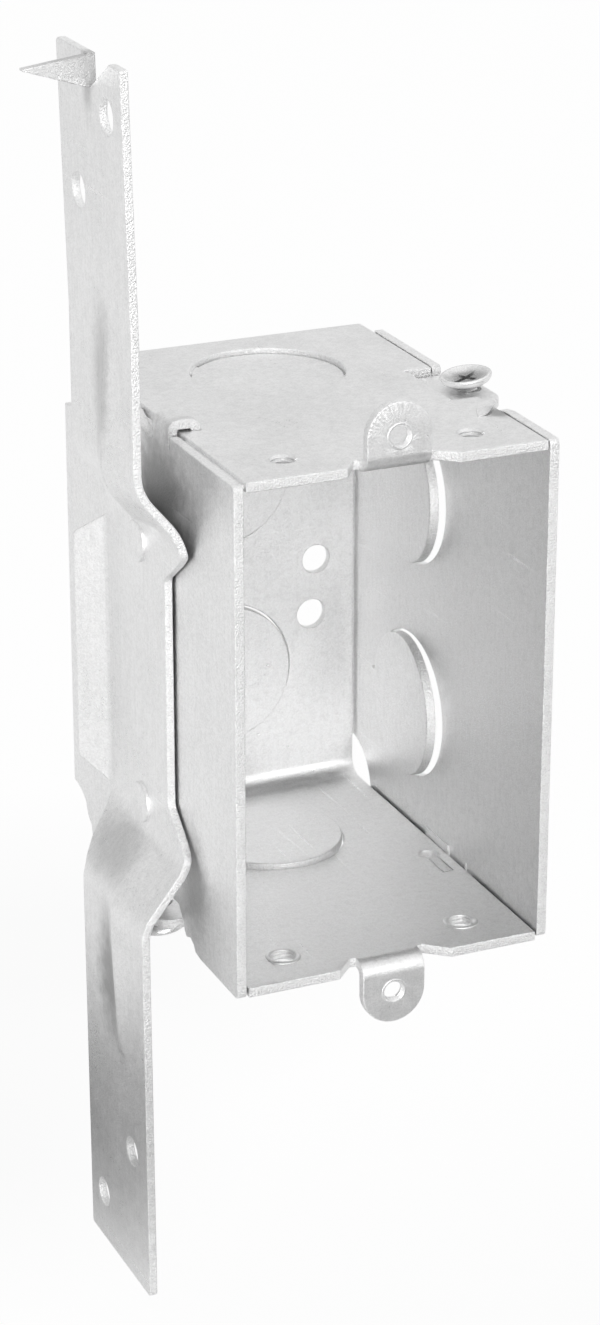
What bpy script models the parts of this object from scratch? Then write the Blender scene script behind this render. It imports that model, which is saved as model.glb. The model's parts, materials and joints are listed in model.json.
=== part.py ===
"""Steel switch box: a folded body, two clamped side plates, a strap bracket and two screws.

Metres, +Z up. The open front faces -Y, the bracket is on the -X side. The origin is the middle
of the back wall's outer face. Every sheet piece is drawn as a flat blank, scored where it bends,
carried round its bent line and then given its thickness.
"""

import bisect
import math

import bmesh
import bpy
from mathutils import Matrix, Vector

OBJECT_NAME = "steel_switch_box"
CUTTER_COLLECTION = "shaping_solids"

# Box
BOX_WIDTH = 0.0485
BOX_HEIGHT = 0.0762
BOX_DEPTH = 0.0650
SHEET = 0.0015
FIT_GAP = 0.0003
REAR_BEND = 0.0040

# Device ears
EAR_WIDTH = 0.0097
EAR_HOLE_SPACING = 0.0833
EAR_HOLE_RADIUS = 0.0016
EAR_BEND = 0.0008
EAR_NOTCH_DEPTH = 0.0028
EAR_NOTCH_FLOOR = 0.0009
EAR_NOTCHES_TOP = (0.0044, 0.0028)
EAR_NOTCHES_BOTTOM = (0.0036, 0.0043)

# Small holes of the body
TAPPED_HOLE_RADIUS = 0.0019
TAPPED_HOLE_SPREAD = 0.0141
TAPPED_HOLE_FROM_FRONT = 0.0073
BACK_HOLES = ((0.0158, 0.0003, 0.0023), (0.0150, -0.0087, 0.0024))

# Knockouts
KNOCKOUT_RADIUS = 0.0111
KNOCKOUT_SLIT = 0.0003
KNOCKOUT_PUSH = 0.0008
KNOCKOUT_TIE_REACH = 0.0010
KNOCKOUT_TIE_HALF_ANGLE = math.radians(14)
WALL_KNOCKOUT_FROM_FRONT = 0.0450
WALL_KNOCKOUT_TIE = math.radians(141)
BACK_KNOCKOUT_RISE = 0.0163
BACK_KNOCKOUT_TIE = math.radians(180)
PLATE_KNOCKOUT_FROM_FRONT = 0.0435
PLATE_KNOCKOUT_RISE = 0.0173
PLATE_KNOCKOUT_TIE = math.radians(0)
PLATE_KNOCKOUT_TILT = math.radians(3.9)

# Side plates
PLATE_SHORTFALL = 0.0004
PLATE_FRONT_CORNER = 0.0008
PLATE_REAR_NOTCH = 0.0076
PLATE_NOTCH_REAR = 0.0372
PLATE_NOTCH_FRONT = 0.0152
PLATE_NOTCH_STEP = 0.0015
PLATE_NOTCH_DEPTH = 0.0054
PLATE_NOTCH_ROUND = 0.0008
HOOK_FRONT = 0.0235
HOOK_REAR = 0.0290
HOOK_SCALLOP_END = 0.0366
HOOK_BEND = 0.0024
HOOK_RUN = 0.0050
HOOK_RELIEF = 0.0006
HOOK_RELIEF_DEPTH = 0.0020
HOOK_TIP_BELOW_WALL = 0.0003
HOOK_SLOT_REAR = 0.0315
HOOK_SLOT_INNER = 0.0182
HOOK_SLOT_WEB = 0.00105

# Side screws
SCREW_FROM_FRONT = 0.0290
SCREW_FROM_MIDDLE = 0.0245
SCREW_SHANK_RADIUS = 0.00135
SCREW_HOLE_RADIUS = 0.0019
SCREW_HEAD_RADIUS = 0.0038
SCREW_HEAD_HEIGHT = 0.0015
SCREW_HEAD_ROUND = 0.0005
SCREW_SHANK_LENGTH = 0.0042
SCREW_LEAN = math.radians(8)
SCREW_DRIVE_WIDTH = 0.0009
SCREW_DRIVE_DEPTH = 0.0007
SCREW_CROSS_LENGTH = 0.0040
SCREW_DRIVE_ANGLES = (math.radians(20), math.radians(110))

# Tongues of the body that carry the screws
TONGUE_FRONT = 0.0222
TONGUE_REAR = 0.0364
TONGUE_REACH = 0.0272
TONGUE_CORNER = 0.0030
TONGUE_SINK = 0.0012
TONGUE_SINK_START = 0.0180
TONGUE_SINK_END = 0.0202
TONGUE_SLIT = 0.0006
TONGUE_SCORES = 4

# Strap bracket
STRAP_SHEET = 0.00125
STRAP_FRONT = 0.0148
STRAP_WIDTH = 0.0240
STRAP_TOP = 0.0910
STRAP_BOTTOM = -0.0928
STRAP_OFFSET = 0.0069
STRAP_TOP_LEAN = 0.0009
STRAP_BOTTOM_LEAN = 0.0002
STRAP_LEAN_START = 0.0540
UPPER_JOG = (0.0245, 0.0328)
LOWER_JOG = (-0.0235, -0.0323)
UPPER_JOG_BENDS = (0.0105, 0.0082)
LOWER_JOG_BENDS = (0.0080, 0.0060)
LEAN_BEND = 0.0500
WAIST_FROM_FRONT = 0.0216
WAIST = (-0.0170, 0.0176)
WING_TIPS = (-0.0226, 0.0226)
WING_TIP_ROUND = 0.0016
FLANGE_FOLD_FROM_FRONT = 0.0442
FLANGE_BEND = 0.0015
FLANGE_LENGTH = 0.0054
FLANGE_ANGLE = math.radians(45)
FLANGE_FOLD_SPAN = (-0.0224, 0.0200)
FLANGE_EDGE_SPAN = (-0.0188, 0.0166)
SHOULDERS = (-0.0290, 0.0280)
BUTTON_FROM_FRONT = 0.0318
BUTTON_HEIGHTS = (-0.0204, 0.0200)
BUTTON_RADIUS = 0.0031
BUTTON_RISE = 0.0005
UPPER_NAIL_HOLES = ((0.0205, 0.0838), (0.0325, 0.0712))
UPPER_NAIL_RADIUS = 0.0025
LOWER_NAIL_HOLES = ((0.0209, -0.0713), (0.0334, -0.0848))
LOWER_NAIL_RADIUS = 0.0022
RIB_FROM_FRONT = 0.0225
RIB_HALF_WIDTH = 0.0060
RIB_RISE = 0.0016
UPPER_RIB = (0.0240, 0.0560)
LOWER_RIB = (-0.0290, -0.0570)
RIB_TAPER = 0.6
RIB_FOOT = 0.2
RIB_ROWS = 9
RIB_COLUMNS = 6

# Spur at the top of the strap
SPUR_FOLD_FROM_FRONT = 0.0268
SPUR_NOTCH_DEPTH = 0.0048
SPUR_NOTCH_END = 0.0189
SPUR_LENGTH = 0.0090
SPUR_ROOT_HEIGHT = 0.0049
SPUR_TIP_DROP = 0.0014
SPUR_TIP_HEIGHT = 0.0003
SPUR_INSET = 0.0001
TAB_CORNER = 0.0009

CIRCLE_STEPS = 40
SMALL_CIRCLE_STEPS = 20
BEND_STEPS = 5
CORNER_STEPS = 4
OVERLAP = 0.0006
FLAT_TOLERANCE = 1e-6
SMALLEST_EDGE = 2e-5


def clear_scene():
    for obj in list(bpy.data.objects):
        bpy.data.objects.remove(obj)


def make_collection(name):
    collection = bpy.data.collections.new(name)
    bpy.context.scene.collection.children.link(collection)
    return collection


def make_metal(name, colour, roughness):
    """A bare metal surface of the given colour."""
    material = bpy.data.materials.new(name)
    material.use_nodes = True
    shader = material.node_tree.nodes["Principled BSDF"]
    shader.inputs["Base Color"].default_value = (*colour, 1)
    shader.inputs["Metallic"].default_value = 1
    shader.inputs["Roughness"].default_value = roughness
    return material


def ring(centre, radius, steps, start=0.0, sweep=2 * math.pi):
    """Points round a circle, or round a part of one that includes both ends."""
    whole = abs(sweep) >= 2 * math.pi
    count = steps if whole else steps + 1
    return [
        (
            centre[0] + radius * math.cos(start + sweep * i / steps),
            centre[1] + radius * math.sin(start + sweep * i / steps),
        )
        for i in range(count)
    ]


def knockout_ring(centre, tie_angle):
    """The edge of a knockout hole: a circle that steps inward where the tie is left."""
    free = 2 * math.pi - 2 * KNOCKOUT_TIE_HALF_ANGLE
    free_start = tie_angle + KNOCKOUT_TIE_HALF_ANGLE
    tie_start = tie_angle - KNOCKOUT_TIE_HALF_ANGLE
    outer = ring(centre, KNOCKOUT_RADIUS + KNOCKOUT_SLIT, CIRCLE_STEPS, free_start, free)
    inner = ring(
        centre,
        KNOCKOUT_RADIUS - KNOCKOUT_TIE_REACH,
        CORNER_STEPS,
        tie_start,
        2 * KNOCKOUT_TIE_HALF_ANGLE,
    )
    return outer + inner


def rounded_points(corners, radii):
    """The corners of a bent line, with each inner one replaced by an arc of its radius."""
    corners = [Vector(corner) for corner in corners]
    points = [corners[0]]
    for before, corner, after, radius in zip(corners, corners[1:], corners[2:], radii):
        arriving = (corner - before).normalized()
        leaving = (after - corner).normalized()
        turn = arriving.angle(leaving)
        side = math.copysign(1, arriving.x * leaving.y - arriving.y * leaving.x)
        start = corner - arriving * radius * math.tan(turn / 2)
        towards = Vector((-arriving.y, arriving.x)) * side
        centre = start + towards * radius
        for i in range(BEND_STEPS + 1):
            angle = side * turn * i / BEND_STEPS
            points.append(centre + Matrix.Rotation(angle, 2) @ (start - centre))
    points.append(corners[-1])
    return points


class BentLine:
    """A bent line in a plane, with distances measured along it."""

    def __init__(self, corners, radii, start=None):
        """Distances begin at start, or are zero half way along when start is left out."""
        self.points = rounded_points(corners, radii)
        steps = zip(self.points, self.points[1:])
        self.marks = [0.0]
        for here, there in steps:
            self.marks.append(self.marks[-1] + (there - here).length)
        first = -self.marks[-1] / 2 if start is None else start
        self.marks = [mark + first for mark in self.marks]

    def leg(self, distance):
        index = bisect.bisect_right(self.marks, distance) - 1
        return min(max(index, 0), len(self.points) - 2)

    def point(self, distance):
        i = self.leg(distance)
        part = (distance - self.marks[i]) / (self.marks[i + 1] - self.marks[i])
        return self.points[i].lerp(self.points[i + 1], part)

    def left_normal(self, distance):
        i = self.leg(distance)
        along = (self.points[i + 1] - self.points[i]).normalized()
        return Vector((-along.y, along.x))

    def at_height(self, height):
        """Distance at which a line that only rises reaches this height."""
        i = sum(point.y < height for point in self.points[1:-1])
        low = self.points[i].y
        part = (height - low) / (self.points[i + 1].y - low)
        return self.marks[i] + part * (self.marks[i + 1] - self.marks[i])


def rounded_corner(before, corner, after, radius):
    """The arc that rounds one corner of an outline."""
    return [tuple(point) for point in rounded_points([before, corner, after], [radius])[1:-1]]


def make_blank(name, outline, holes, across=(), along=()):
    """A flat filled sheet with holes, scored at the given distances across and along it."""
    curve = bpy.data.curves.new(name, "CURVE")
    curve.dimensions = "2D"
    curve.fill_mode = "BOTH"
    for loop in [outline, *holes]:
        spline = curve.splines.new("POLY")
        spline.points.add(len(loop) - 1)
        spline.use_cyclic_u = True
        for point, (u, v) in zip(spline.points, loop):
            point.co = (u, v, 0, 1)
    drawn = bpy.data.objects.new(name, curve)
    bpy.context.scene.collection.objects.link(drawn)
    graph = bpy.context.evaluated_depsgraph_get()
    mesh = bpy.data.meshes.new_from_object(drawn.evaluated_get(graph))
    bpy.data.objects.remove(drawn)
    bpy.data.curves.remove(curve)
    sheet = bmesh.new()
    sheet.from_mesh(mesh)
    bmesh.ops.remove_doubles(sheet, verts=sheet.verts, dist=1e-6)
    for axis, distances in ((0, across), (1, along)):
        normal = Vector((axis == 0, axis == 1, 0))
        for distance in distances:
            bmesh.ops.bisect_plane(
                sheet,
                geom=[*sheet.verts, *sheet.edges, *sheet.faces],
                dist=1e-7,
                plane_co=normal * distance,
                plane_no=normal,
            )
    bmesh.ops.dissolve_degenerate(sheet, dist=SMALLEST_EDGE, edges=sheet.edges)
    bmesh.ops.triangulate(sheet, faces=sheet.faces)
    sheet.to_mesh(mesh)
    sheet.free()
    return mesh


def make_object(name, mesh, collection, material=None):
    obj = bpy.data.objects.new(name, mesh)
    collection.objects.link(obj)
    if material:
        mesh.materials.append(material)
    return obj


def fold_sheet(mesh, place, outward):
    """Moves each point of a blank to its folded place; its largest face then looks outward."""
    sheet = bmesh.new()
    sheet.from_mesh(mesh)
    for vert in sheet.verts:
        vert.co = place(vert.co.x, vert.co.y)
    sheet.normal_update()
    middle = max(sheet.faces, key=lambda face: face.calc_area())
    if middle.normal.dot(outward) < 0:
        bmesh.ops.reverse_faces(sheet, faces=sheet.faces)
    sheet.to_mesh(mesh)
    sheet.free()


def thicken(obj, thickness):
    modifier = obj.modifiers.new("thickness", "SOLIDIFY")
    modifier.thickness = thickness
    modifier.offset = -1
    modifier.use_even_offset = True


def hide_helper(obj):
    obj.hide_render = True
    obj.display_type = "WIRE"


def boolean(obj, other, operation, solver="EXACT"):
    hide_helper(other)
    modifier = obj.modifiers.new(other.name, "BOOLEAN")
    modifier.operation = operation
    modifier.solver = solver
    modifier.object = other


def make_cylinder(name, radius, depth, steps, matrix, collection):
    """A cylinder along its own Z axis, centred on the matrix."""
    solid = bmesh.new()
    bmesh.ops.create_cone(
        solid,
        cap_ends=True,
        segments=steps,
        radius1=radius,
        radius2=radius,
        depth=depth,
        matrix=matrix,
    )
    mesh = bpy.data.meshes.new(name)
    solid.to_mesh(mesh)
    solid.free()
    return make_object(name, mesh, collection)


def make_box(name, low, high, matrix, collection):
    """A box between two corners, carried by the matrix."""
    solid = bmesh.new()
    low = Vector(low)
    high = Vector(high)
    bmesh.ops.create_cube(solid, size=1)
    bmesh.ops.scale(solid, vec=high - low, verts=solid.verts)
    bmesh.ops.translate(solid, vec=(low + high) / 2, verts=solid.verts)
    bmesh.ops.transform(solid, matrix=matrix, verts=solid.verts)
    mesh = bpy.data.meshes.new(name)
    solid.to_mesh(mesh)
    solid.free()
    return make_object(name, mesh, collection)


def facing(direction, point):
    """A frame at the point whose Z axis has the given direction."""
    turn = Vector((0, 0, 1)).rotation_difference(Vector(direction)).to_matrix().to_4x4()
    return Matrix.Translation(point) @ turn


def from_front(distance):
    """Y of a place measured from the box's open front."""
    return distance - BOX_DEPTH


HALF_WIDTH = BOX_WIDTH / 2
HALF_HEIGHT = BOX_HEIGHT / 2
BODY_HALF_WIDTH = HALF_WIDTH - SHEET - FIT_GAP
EAR_HALF_WIDTH = EAR_WIDTH / 2
EAR_HOLE_HEIGHT = EAR_HOLE_SPACING / 2
EAR_TIP_HEIGHT = EAR_HOLE_HEIGHT + EAR_HALF_WIDTH
OUTSIDE_WALL = HALF_HEIGHT + FIT_GAP + SHEET
EAR_REAR_FACE = from_front(SHEET)


def body_lines():
    """The bent lines of the body's outer face, in Y and Z: through the ears and beside them."""
    front = from_front(0)
    through_ears = BentLine(
        [
            (EAR_REAR_FACE, -EAR_TIP_HEIGHT),
            (EAR_REAR_FACE, -HALF_HEIGHT),
            (0, -HALF_HEIGHT),
            (0, HALF_HEIGHT),
            (EAR_REAR_FACE, HALF_HEIGHT),
            (EAR_REAR_FACE, EAR_TIP_HEIGHT),
        ],
        [EAR_BEND, REAR_BEND, REAR_BEND, EAR_BEND],
    )
    beside_ears = BentLine(
        [
            (front, -HALF_HEIGHT),
            (0, -HALF_HEIGHT),
            (0, HALF_HEIGHT),
            (front, HALF_HEIGHT),
        ],
        [REAR_BEND, REAR_BEND],
    )
    return through_ears, beside_ears


def body_end(ear_line, edge, notch_widths):
    """Half of the body's outline, from its right side over one ear to its left side.

    notch_widths are those right and left of the ear as this end is seen with its ear up.
    """
    floor = edge - EAR_NOTCH_DEPTH
    round_centre = ear_line.at_height(EAR_HOLE_HEIGHT)
    right, left = notch_widths
    tip = ring((0, round_centre), EAR_HALF_WIDTH, CIRCLE_STEPS // 2, 0, math.pi)
    rear = edge - TONGUE_REAR
    front = edge - TONGUE_FRONT
    root = TONGUE_SINK_START
    return [
        (BODY_HALF_WIDTH, rear - TONGUE_SLIT),
        (root, rear - TONGUE_SLIT),
        (root, rear),
        *rounded_corner((root, rear), (TONGUE_REACH, rear), (TONGUE_REACH, front), TONGUE_CORNER),
        *rounded_corner((TONGUE_REACH, rear), (TONGUE_REACH, front), (root, front), TONGUE_CORNER),
        (root, front),
        (root, front + TONGUE_SLIT),
        (BODY_HALF_WIDTH, front + TONGUE_SLIT),
        (BODY_HALF_WIDTH, edge),
        (EAR_HALF_WIDTH + right, edge),
        (EAR_HALF_WIDTH + EAR_NOTCH_FLOOR, floor),
        (EAR_HALF_WIDTH, floor),
        *tip,
        (-EAR_HALF_WIDTH, floor),
        (-EAR_HALF_WIDTH - EAR_NOTCH_FLOOR, floor),
        (-EAR_HALF_WIDTH - left, edge),
        (-BODY_HALF_WIDTH, edge),
    ]


def hook_slot(edge):
    """The slot left of the middle of the end with its ear up, tapered towards the rear."""
    outer = -BODY_HALF_WIDTH + HOOK_SLOT_WEB
    inner = -HOOK_SLOT_INNER
    front = edge - HOOK_FRONT + FIT_GAP
    shoulder = edge - HOOK_REAR - FIT_GAP
    rear = edge - HOOK_SLOT_REAR
    return [
        (outer, front),
        (outer, shoulder),
        ((3 * outer + inner) / 4, (shoulder + 2 * rear) / 3),
        ((outer + inner) / 2, rear),
        ((outer + 3 * inner) / 4, (shoulder + 2 * rear) / 3),
        (inner, shoulder),
        (inner, front),
    ]


def ease(part):
    """A smooth step from 0 to 1."""
    part = min(1, max(0, part))
    return part * part * (3 - 2 * part)


def tongue_sink(u, v, edge):
    """How deep a place of the body is pressed in, which it is only on a tongue."""
    if v < 0:
        u, v = -u, -v
    if not TONGUE_FRONT - FLAT_TOLERANCE <= edge - v <= TONGUE_REAR + FLAT_TOLERANCE:
        return 0.0
    return TONGUE_SINK * ease((u - TONGUE_SINK_START) / (TONGUE_SINK_END - TONGUE_SINK_START))


def tongue_scores():
    """Score lines across the body where its tongues are pressed in."""
    width = TONGUE_SINK_END - TONGUE_SINK_START
    across = [TONGUE_SINK_START + width * i / TONGUE_SCORES for i in range(TONGUE_SCORES + 1)]
    return [*across, *[-u for u in across]]


def turned(points):
    """Points of a blank turned half round in its plane."""
    return [(-u, -v) for u, v in points]


def make_body(collection, helpers, material):
    ear_line, wall_line = body_lines()
    edge = wall_line.marks[-1]
    top = body_end(ear_line, edge, EAR_NOTCHES_TOP)
    bottom = turned(body_end(ear_line, edge, EAR_NOTCHES_BOTTOM))
    ear_hole = ear_line.at_height(EAR_HOLE_HEIGHT)
    tapped = edge - TAPPED_HOLE_FROM_FRONT
    knockout = edge - WALL_KNOCKOUT_FROM_FRONT
    screw = (SCREW_FROM_MIDDLE, edge - SCREW_FROM_FRONT)
    screw_hole = ring(screw, SCREW_HOLE_RADIUS, SMALL_CIRCLE_STEPS)
    holes = [
        knockout_ring((0, knockout), -WALL_KNOCKOUT_TIE),
        knockout_ring((0, -knockout), WALL_KNOCKOUT_TIE),
        knockout_ring((0, BACK_KNOCKOUT_RISE), BACK_KNOCKOUT_TIE),
        knockout_ring((0, -BACK_KNOCKOUT_RISE), BACK_KNOCKOUT_TIE),
        hook_slot(edge),
        turned(hook_slot(edge)),
        screw_hole,
        turned(screw_hole),
    ]
    for side in (-1, 1):
        holes.append(ring((0, side * ear_hole), EAR_HOLE_RADIUS, SMALL_CIRCLE_STEPS))
        for end in (-1, 1):
            centre = (side * TAPPED_HOLE_SPREAD, end * tapped)
            holes.append(ring(centre, TAPPED_HOLE_RADIUS, SMALL_CIRCLE_STEPS))
    for x, height, radius in BACK_HOLES:
        holes.append(ring((x, height), radius, SMALL_CIRCLE_STEPS))

    def place(u, v):
        line = ear_line if abs(u) <= EAR_HALF_WIDTH + FLAT_TOLERANCE else wall_line
        point = line.point(v)
        normal = line.left_normal(v) * tongue_sink(u, v, edge)
        return Vector((u, point.x + normal.x, point.y + normal.y))

    bends = [*ear_line.marks[1:-1], *wall_line.marks[1:-1]]
    mesh = make_blank("box_body", top + bottom, holes, tongue_scores(), bends)
    fold_sheet(mesh, place, Vector((0, 1, 0)))
    body = make_object("box_body", mesh, collection, material)
    thicken(body, SHEET)
    wall_y = from_front(WALL_KNOCKOUT_FROM_FRONT)
    tie = Vector((math.cos(WALL_KNOCKOUT_TIE), math.sin(WALL_KNOCKOUT_TIE), 0))
    back_tie = Vector((math.cos(BACK_KNOCKOUT_TIE), 0, math.sin(BACK_KNOCKOUT_TIE)))
    discs = [
        ("top_disc", (0, wall_y, HALF_HEIGHT), (0, 0, 1), tie),
        ("bottom_disc", (0, wall_y, -HALF_HEIGHT), (0, 0, -1), tie),
        ("upper_back_disc", (0, 0, BACK_KNOCKOUT_RISE), (0, 1, 0), back_tie),
        ("lower_back_disc", (0, 0, -BACK_KNOCKOUT_RISE), (0, 1, 0), back_tie),
    ]
    for name, centre, outward, towards_tie in discs:
        add_knockout(body, name, centre, outward, towards_tie, 0, helpers)
    return body


def add_knockout(obj, name, centre, outward, towards_tie, tilt, helpers):
    """A knockout disc pressed inward from the wall's outer face, tilted about its tie."""
    outward = Vector(outward)
    middle = Vector(centre) - outward * (KNOCKOUT_PUSH + SHEET / 2)
    pivot = middle + towards_tie * KNOCKOUT_RADIUS
    hinge = Matrix.Rotation(-tilt, 4, outward.cross(towards_tie))
    matrix = Matrix.Translation(pivot) @ hinge @ Matrix.Translation(-pivot)
    matrix = matrix @ facing(outward, middle)
    disc = make_cylinder(name, KNOCKOUT_RADIUS, SHEET, CIRCLE_STEPS, matrix, helpers)
    boolean(obj, disc, "UNION")


def hook_line():
    """The hook's outer face in X and Z: down the right plate, inward, then up into its slot."""
    leg = HALF_WIDTH - HOOK_RUN
    corners = [
        (HALF_WIDTH, 0),
        (HALF_WIDTH, -OUTSIDE_WALL),
        (leg, -OUTSIDE_WALL),
        (leg, -HALF_HEIGHT + SHEET - HOOK_TIP_BELOW_WALL),
    ]
    return BentLine(corners, [HOOK_BEND, HOOK_BEND], start=0)


def plate_outline(hook):
    """The right plate's blank in Y and Z, from its lower front corner and along the bottom."""
    front = from_front(0)
    bottom = -HALF_HEIGHT + PLATE_SHORTFALL
    top = HALF_HEIGHT
    scallop = bottom + HOOK_RELIEF_DEPTH
    hook_shoulder = scallop - HOOK_RELIEF / 2
    hook_end = -hook.marks[-1]
    hook_front = from_front(HOOK_FRONT)
    hook_rear = from_front(HOOK_REAR)
    notch_front = from_front(PLATE_NOTCH_FRONT)
    notch_rear = from_front(PLATE_NOTCH_REAR)
    notch_floor = top - PLATE_NOTCH_DEPTH
    step = PLATE_NOTCH_STEP
    tongue_front = from_front(TONGUE_FRONT)
    shortfall_angle = math.asin(PLATE_SHORTFALL / PLATE_REAR_NOTCH)
    lower_notch = ring(
        (0, -HALF_HEIGHT),
        PLATE_REAR_NOTCH,
        CIRCLE_STEPS // 4,
        math.pi - shortfall_angle,
        shortfall_angle - math.pi / 2,
    )
    upper_notch = ring(
        (0, top), PLATE_REAR_NOTCH, CIRCLE_STEPS // 4, -math.pi / 2, -math.pi / 2
    )
    return [
        *rounded_corner((front, top), (front, bottom), (0, bottom), PLATE_FRONT_CORNER),
        (hook_front - HOOK_RELIEF, bottom),
        (hook_front - HOOK_RELIEF, hook_shoulder),
        (hook_front - HOOK_RELIEF / 2, scallop),
        (hook_front, hook_shoulder),
        (hook_front, hook_end),
        (hook_rear, hook_end),
        (hook_rear, hook_shoulder),
        (hook_rear + HOOK_RELIEF, scallop),
        (hook_rear + HOOK_RELIEF + step, scallop - HOOK_RELIEF / 4),
        (from_front(HOOK_SCALLOP_END), bottom),
        *lower_notch,
        *upper_notch,
        *rounded_corner((0, top), (notch_rear, top), (notch_rear, 0), PLATE_NOTCH_ROUND),
        (notch_rear, notch_floor + step / 2),
        (notch_rear - step / 2, notch_floor),
        (tongue_front + step / 2, notch_floor),
        (tongue_front - step, notch_floor + step / 2),
        (tongue_front - 3 * step / 2, top - step),
        (notch_front + step, top - step),
        (notch_front, top),
        *rounded_corner((0, top), (front, top), (front, bottom), PLATE_FRONT_CORNER),
    ]


def make_side_plate(name, side, knockouts, collection, helpers, material):
    """The plate of the given side: 1 is the right one, -1 the left one, turned half round."""
    hook = hook_line()
    plate_y = from_front(PLATE_KNOCKOUT_FROM_FRONT)
    heights = (-PLATE_KNOCKOUT_RISE, PLATE_KNOCKOUT_RISE) if knockouts else ()
    holes = [knockout_ring((plate_y, height), PLATE_KNOCKOUT_TIE) for height in heights]
    hook_front = from_front(HOOK_FRONT) - FLAT_TOLERANCE
    hook_rear = from_front(HOOK_REAR) + FLAT_TOLERANCE

    def place(u, v):
        x, z = HALF_WIDTH, v
        if v < 0 and hook_front <= u <= hook_rear:
            x, z = hook.point(-v)
        return Vector((side * x, u, side * z))

    bends = [-mark for mark in hook.marks[1:-1]]
    mesh = make_blank(name, plate_outline(hook), holes, along=bends)
    fold_sheet(mesh, place, Vector((side, 0, 0)))
    plate = make_object(name, mesh, collection, material)
    thicken(plate, SHEET)
    for number, height in enumerate(heights):
        centre = (side * HALF_WIDTH, plate_y, side * height)
        outward = (side, 0, 0)
        disc = f"{name}_disc_{number}"
        rearward = Vector((0, 1, 0))
        add_knockout(plate, disc, centre, outward, rearward, PLATE_KNOCKOUT_TILT, helpers)
    return plate


def strap_line():
    """The strap's outer face in X and Z, from its lower end up."""
    flat = -(HALF_WIDTH + FIT_GAP + STRAP_SHEET)
    arm = flat - STRAP_OFFSET
    corners = [
        (arm + STRAP_BOTTOM_LEAN, STRAP_BOTTOM),
        (arm, LOWER_JOG[1]),
        (flat, LOWER_JOG[0]),
        (flat, UPPER_JOG[0]),
        (arm, UPPER_JOG[1]),
        (arm, STRAP_LEAN_START),
        (arm - STRAP_TOP_LEAN, STRAP_TOP),
    ]
    bends = [*reversed(LOWER_JOG_BENDS), *UPPER_JOG_BENDS, LEAN_BEND]
    return BentLine(corners, bends, start=0)


def flange_line():
    """The rear flange's outer face, as distance back and distance outward."""
    fold = from_front(FLANGE_FOLD_FROM_FRONT)
    tip = (
        fold + FLANGE_LENGTH * math.cos(FLANGE_ANGLE),
        FLANGE_LENGTH * math.sin(FLANGE_ANGLE),
    )
    front = from_front(STRAP_FRONT)
    return BentLine([(front, 0), (fold, 0), tip], [FLANGE_BEND], start=front)


def strap_outline(strap, flange):
    """The strap's blank in Y and in distance along it, from its lower front corner up."""
    front = from_front(STRAP_FRONT)
    rear = front + STRAP_WIDTH
    waist = from_front(WAIST_FROM_FRONT)
    fold = from_front(FLANGE_FOLD_FROM_FRONT)
    shoulder = (rear + fold) / 2
    free_edge = flange.marks[-1]
    spur = from_front(SPUR_FOLD_FROM_FRONT)
    notch_end = from_front(SPUR_NOTCH_END)
    corners = [
        (front, STRAP_BOTTOM),
        (front, WING_TIPS[0]),
        (waist, WAIST[0]),
        (waist, WAIST[1]),
        (front, WING_TIPS[1]),
        (front, STRAP_TOP),
        (notch_end, STRAP_TOP),
        (spur, STRAP_TOP - SPUR_NOTCH_DEPTH),
        (spur, STRAP_TOP),
        (rear - TAB_CORNER, STRAP_TOP),
        (rear, STRAP_TOP - TAB_CORNER),
        (rear, UPPER_JOG[1]),
        (shoulder, SHOULDERS[1]),
        (fold, FLANGE_FOLD_SPAN[1]),
        (free_edge, FLANGE_EDGE_SPAN[1]),
        (free_edge, FLANGE_EDGE_SPAN[0]),
        (fold, FLANGE_FOLD_SPAN[0]),
        (shoulder, SHOULDERS[0]),
        (rear, LOWER_JOG[1]),
        (rear, STRAP_BOTTOM),
    ]
    flat = [(y, strap.at_height(height)) for y, height in corners]
    rounded = {1: WING_TIP_ROUND, 2: WING_TIP_ROUND, 3: WING_TIP_ROUND, 4: WING_TIP_ROUND}
    outline = []
    for i, corner in enumerate(flat):
        if i in rounded:
            outline += rounded_corner(flat[i - 1], corner, flat[i + 1], rounded[i])
        else:
            outline.append(corner)
    return outline


def rib_rise(y, height):
    """How far the two pressed ribs push the strap outward at a place on it."""
    centre = from_front(RIB_FROM_FRONT)
    for jog_end, tip in (UPPER_RIB, LOWER_RIB):
        part = (height - jog_end) / (tip - jog_end)
        if not 0 < part < 1:
            continue
        half_width = RIB_HALF_WIDTH * (1 - RIB_TAPER * part)
        off = abs(y - centre) / half_width
        if off >= 1:
            return 0.0
        foot = min(1, part / RIB_FOOT)
        across = (1 + math.cos(math.pi * off)) / 2
        return RIB_RISE * across * foot * math.sqrt(1 - part)
    return 0.0


def rib_scores(strap):
    """Score lines that let the ribs curve: across the strap and along it."""
    centre = from_front(RIB_FROM_FRONT)
    across = [
        centre + RIB_HALF_WIDTH * (2 * i / RIB_COLUMNS - 1) for i in range(RIB_COLUMNS + 1)
    ]
    along = []
    for jog_end, tip in (UPPER_RIB, LOWER_RIB):
        for i in range(RIB_ROWS + 1):
            height = jog_end + (tip - jog_end) * i / RIB_ROWS
            along.append(strap.at_height(height))
    return across, along


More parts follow.
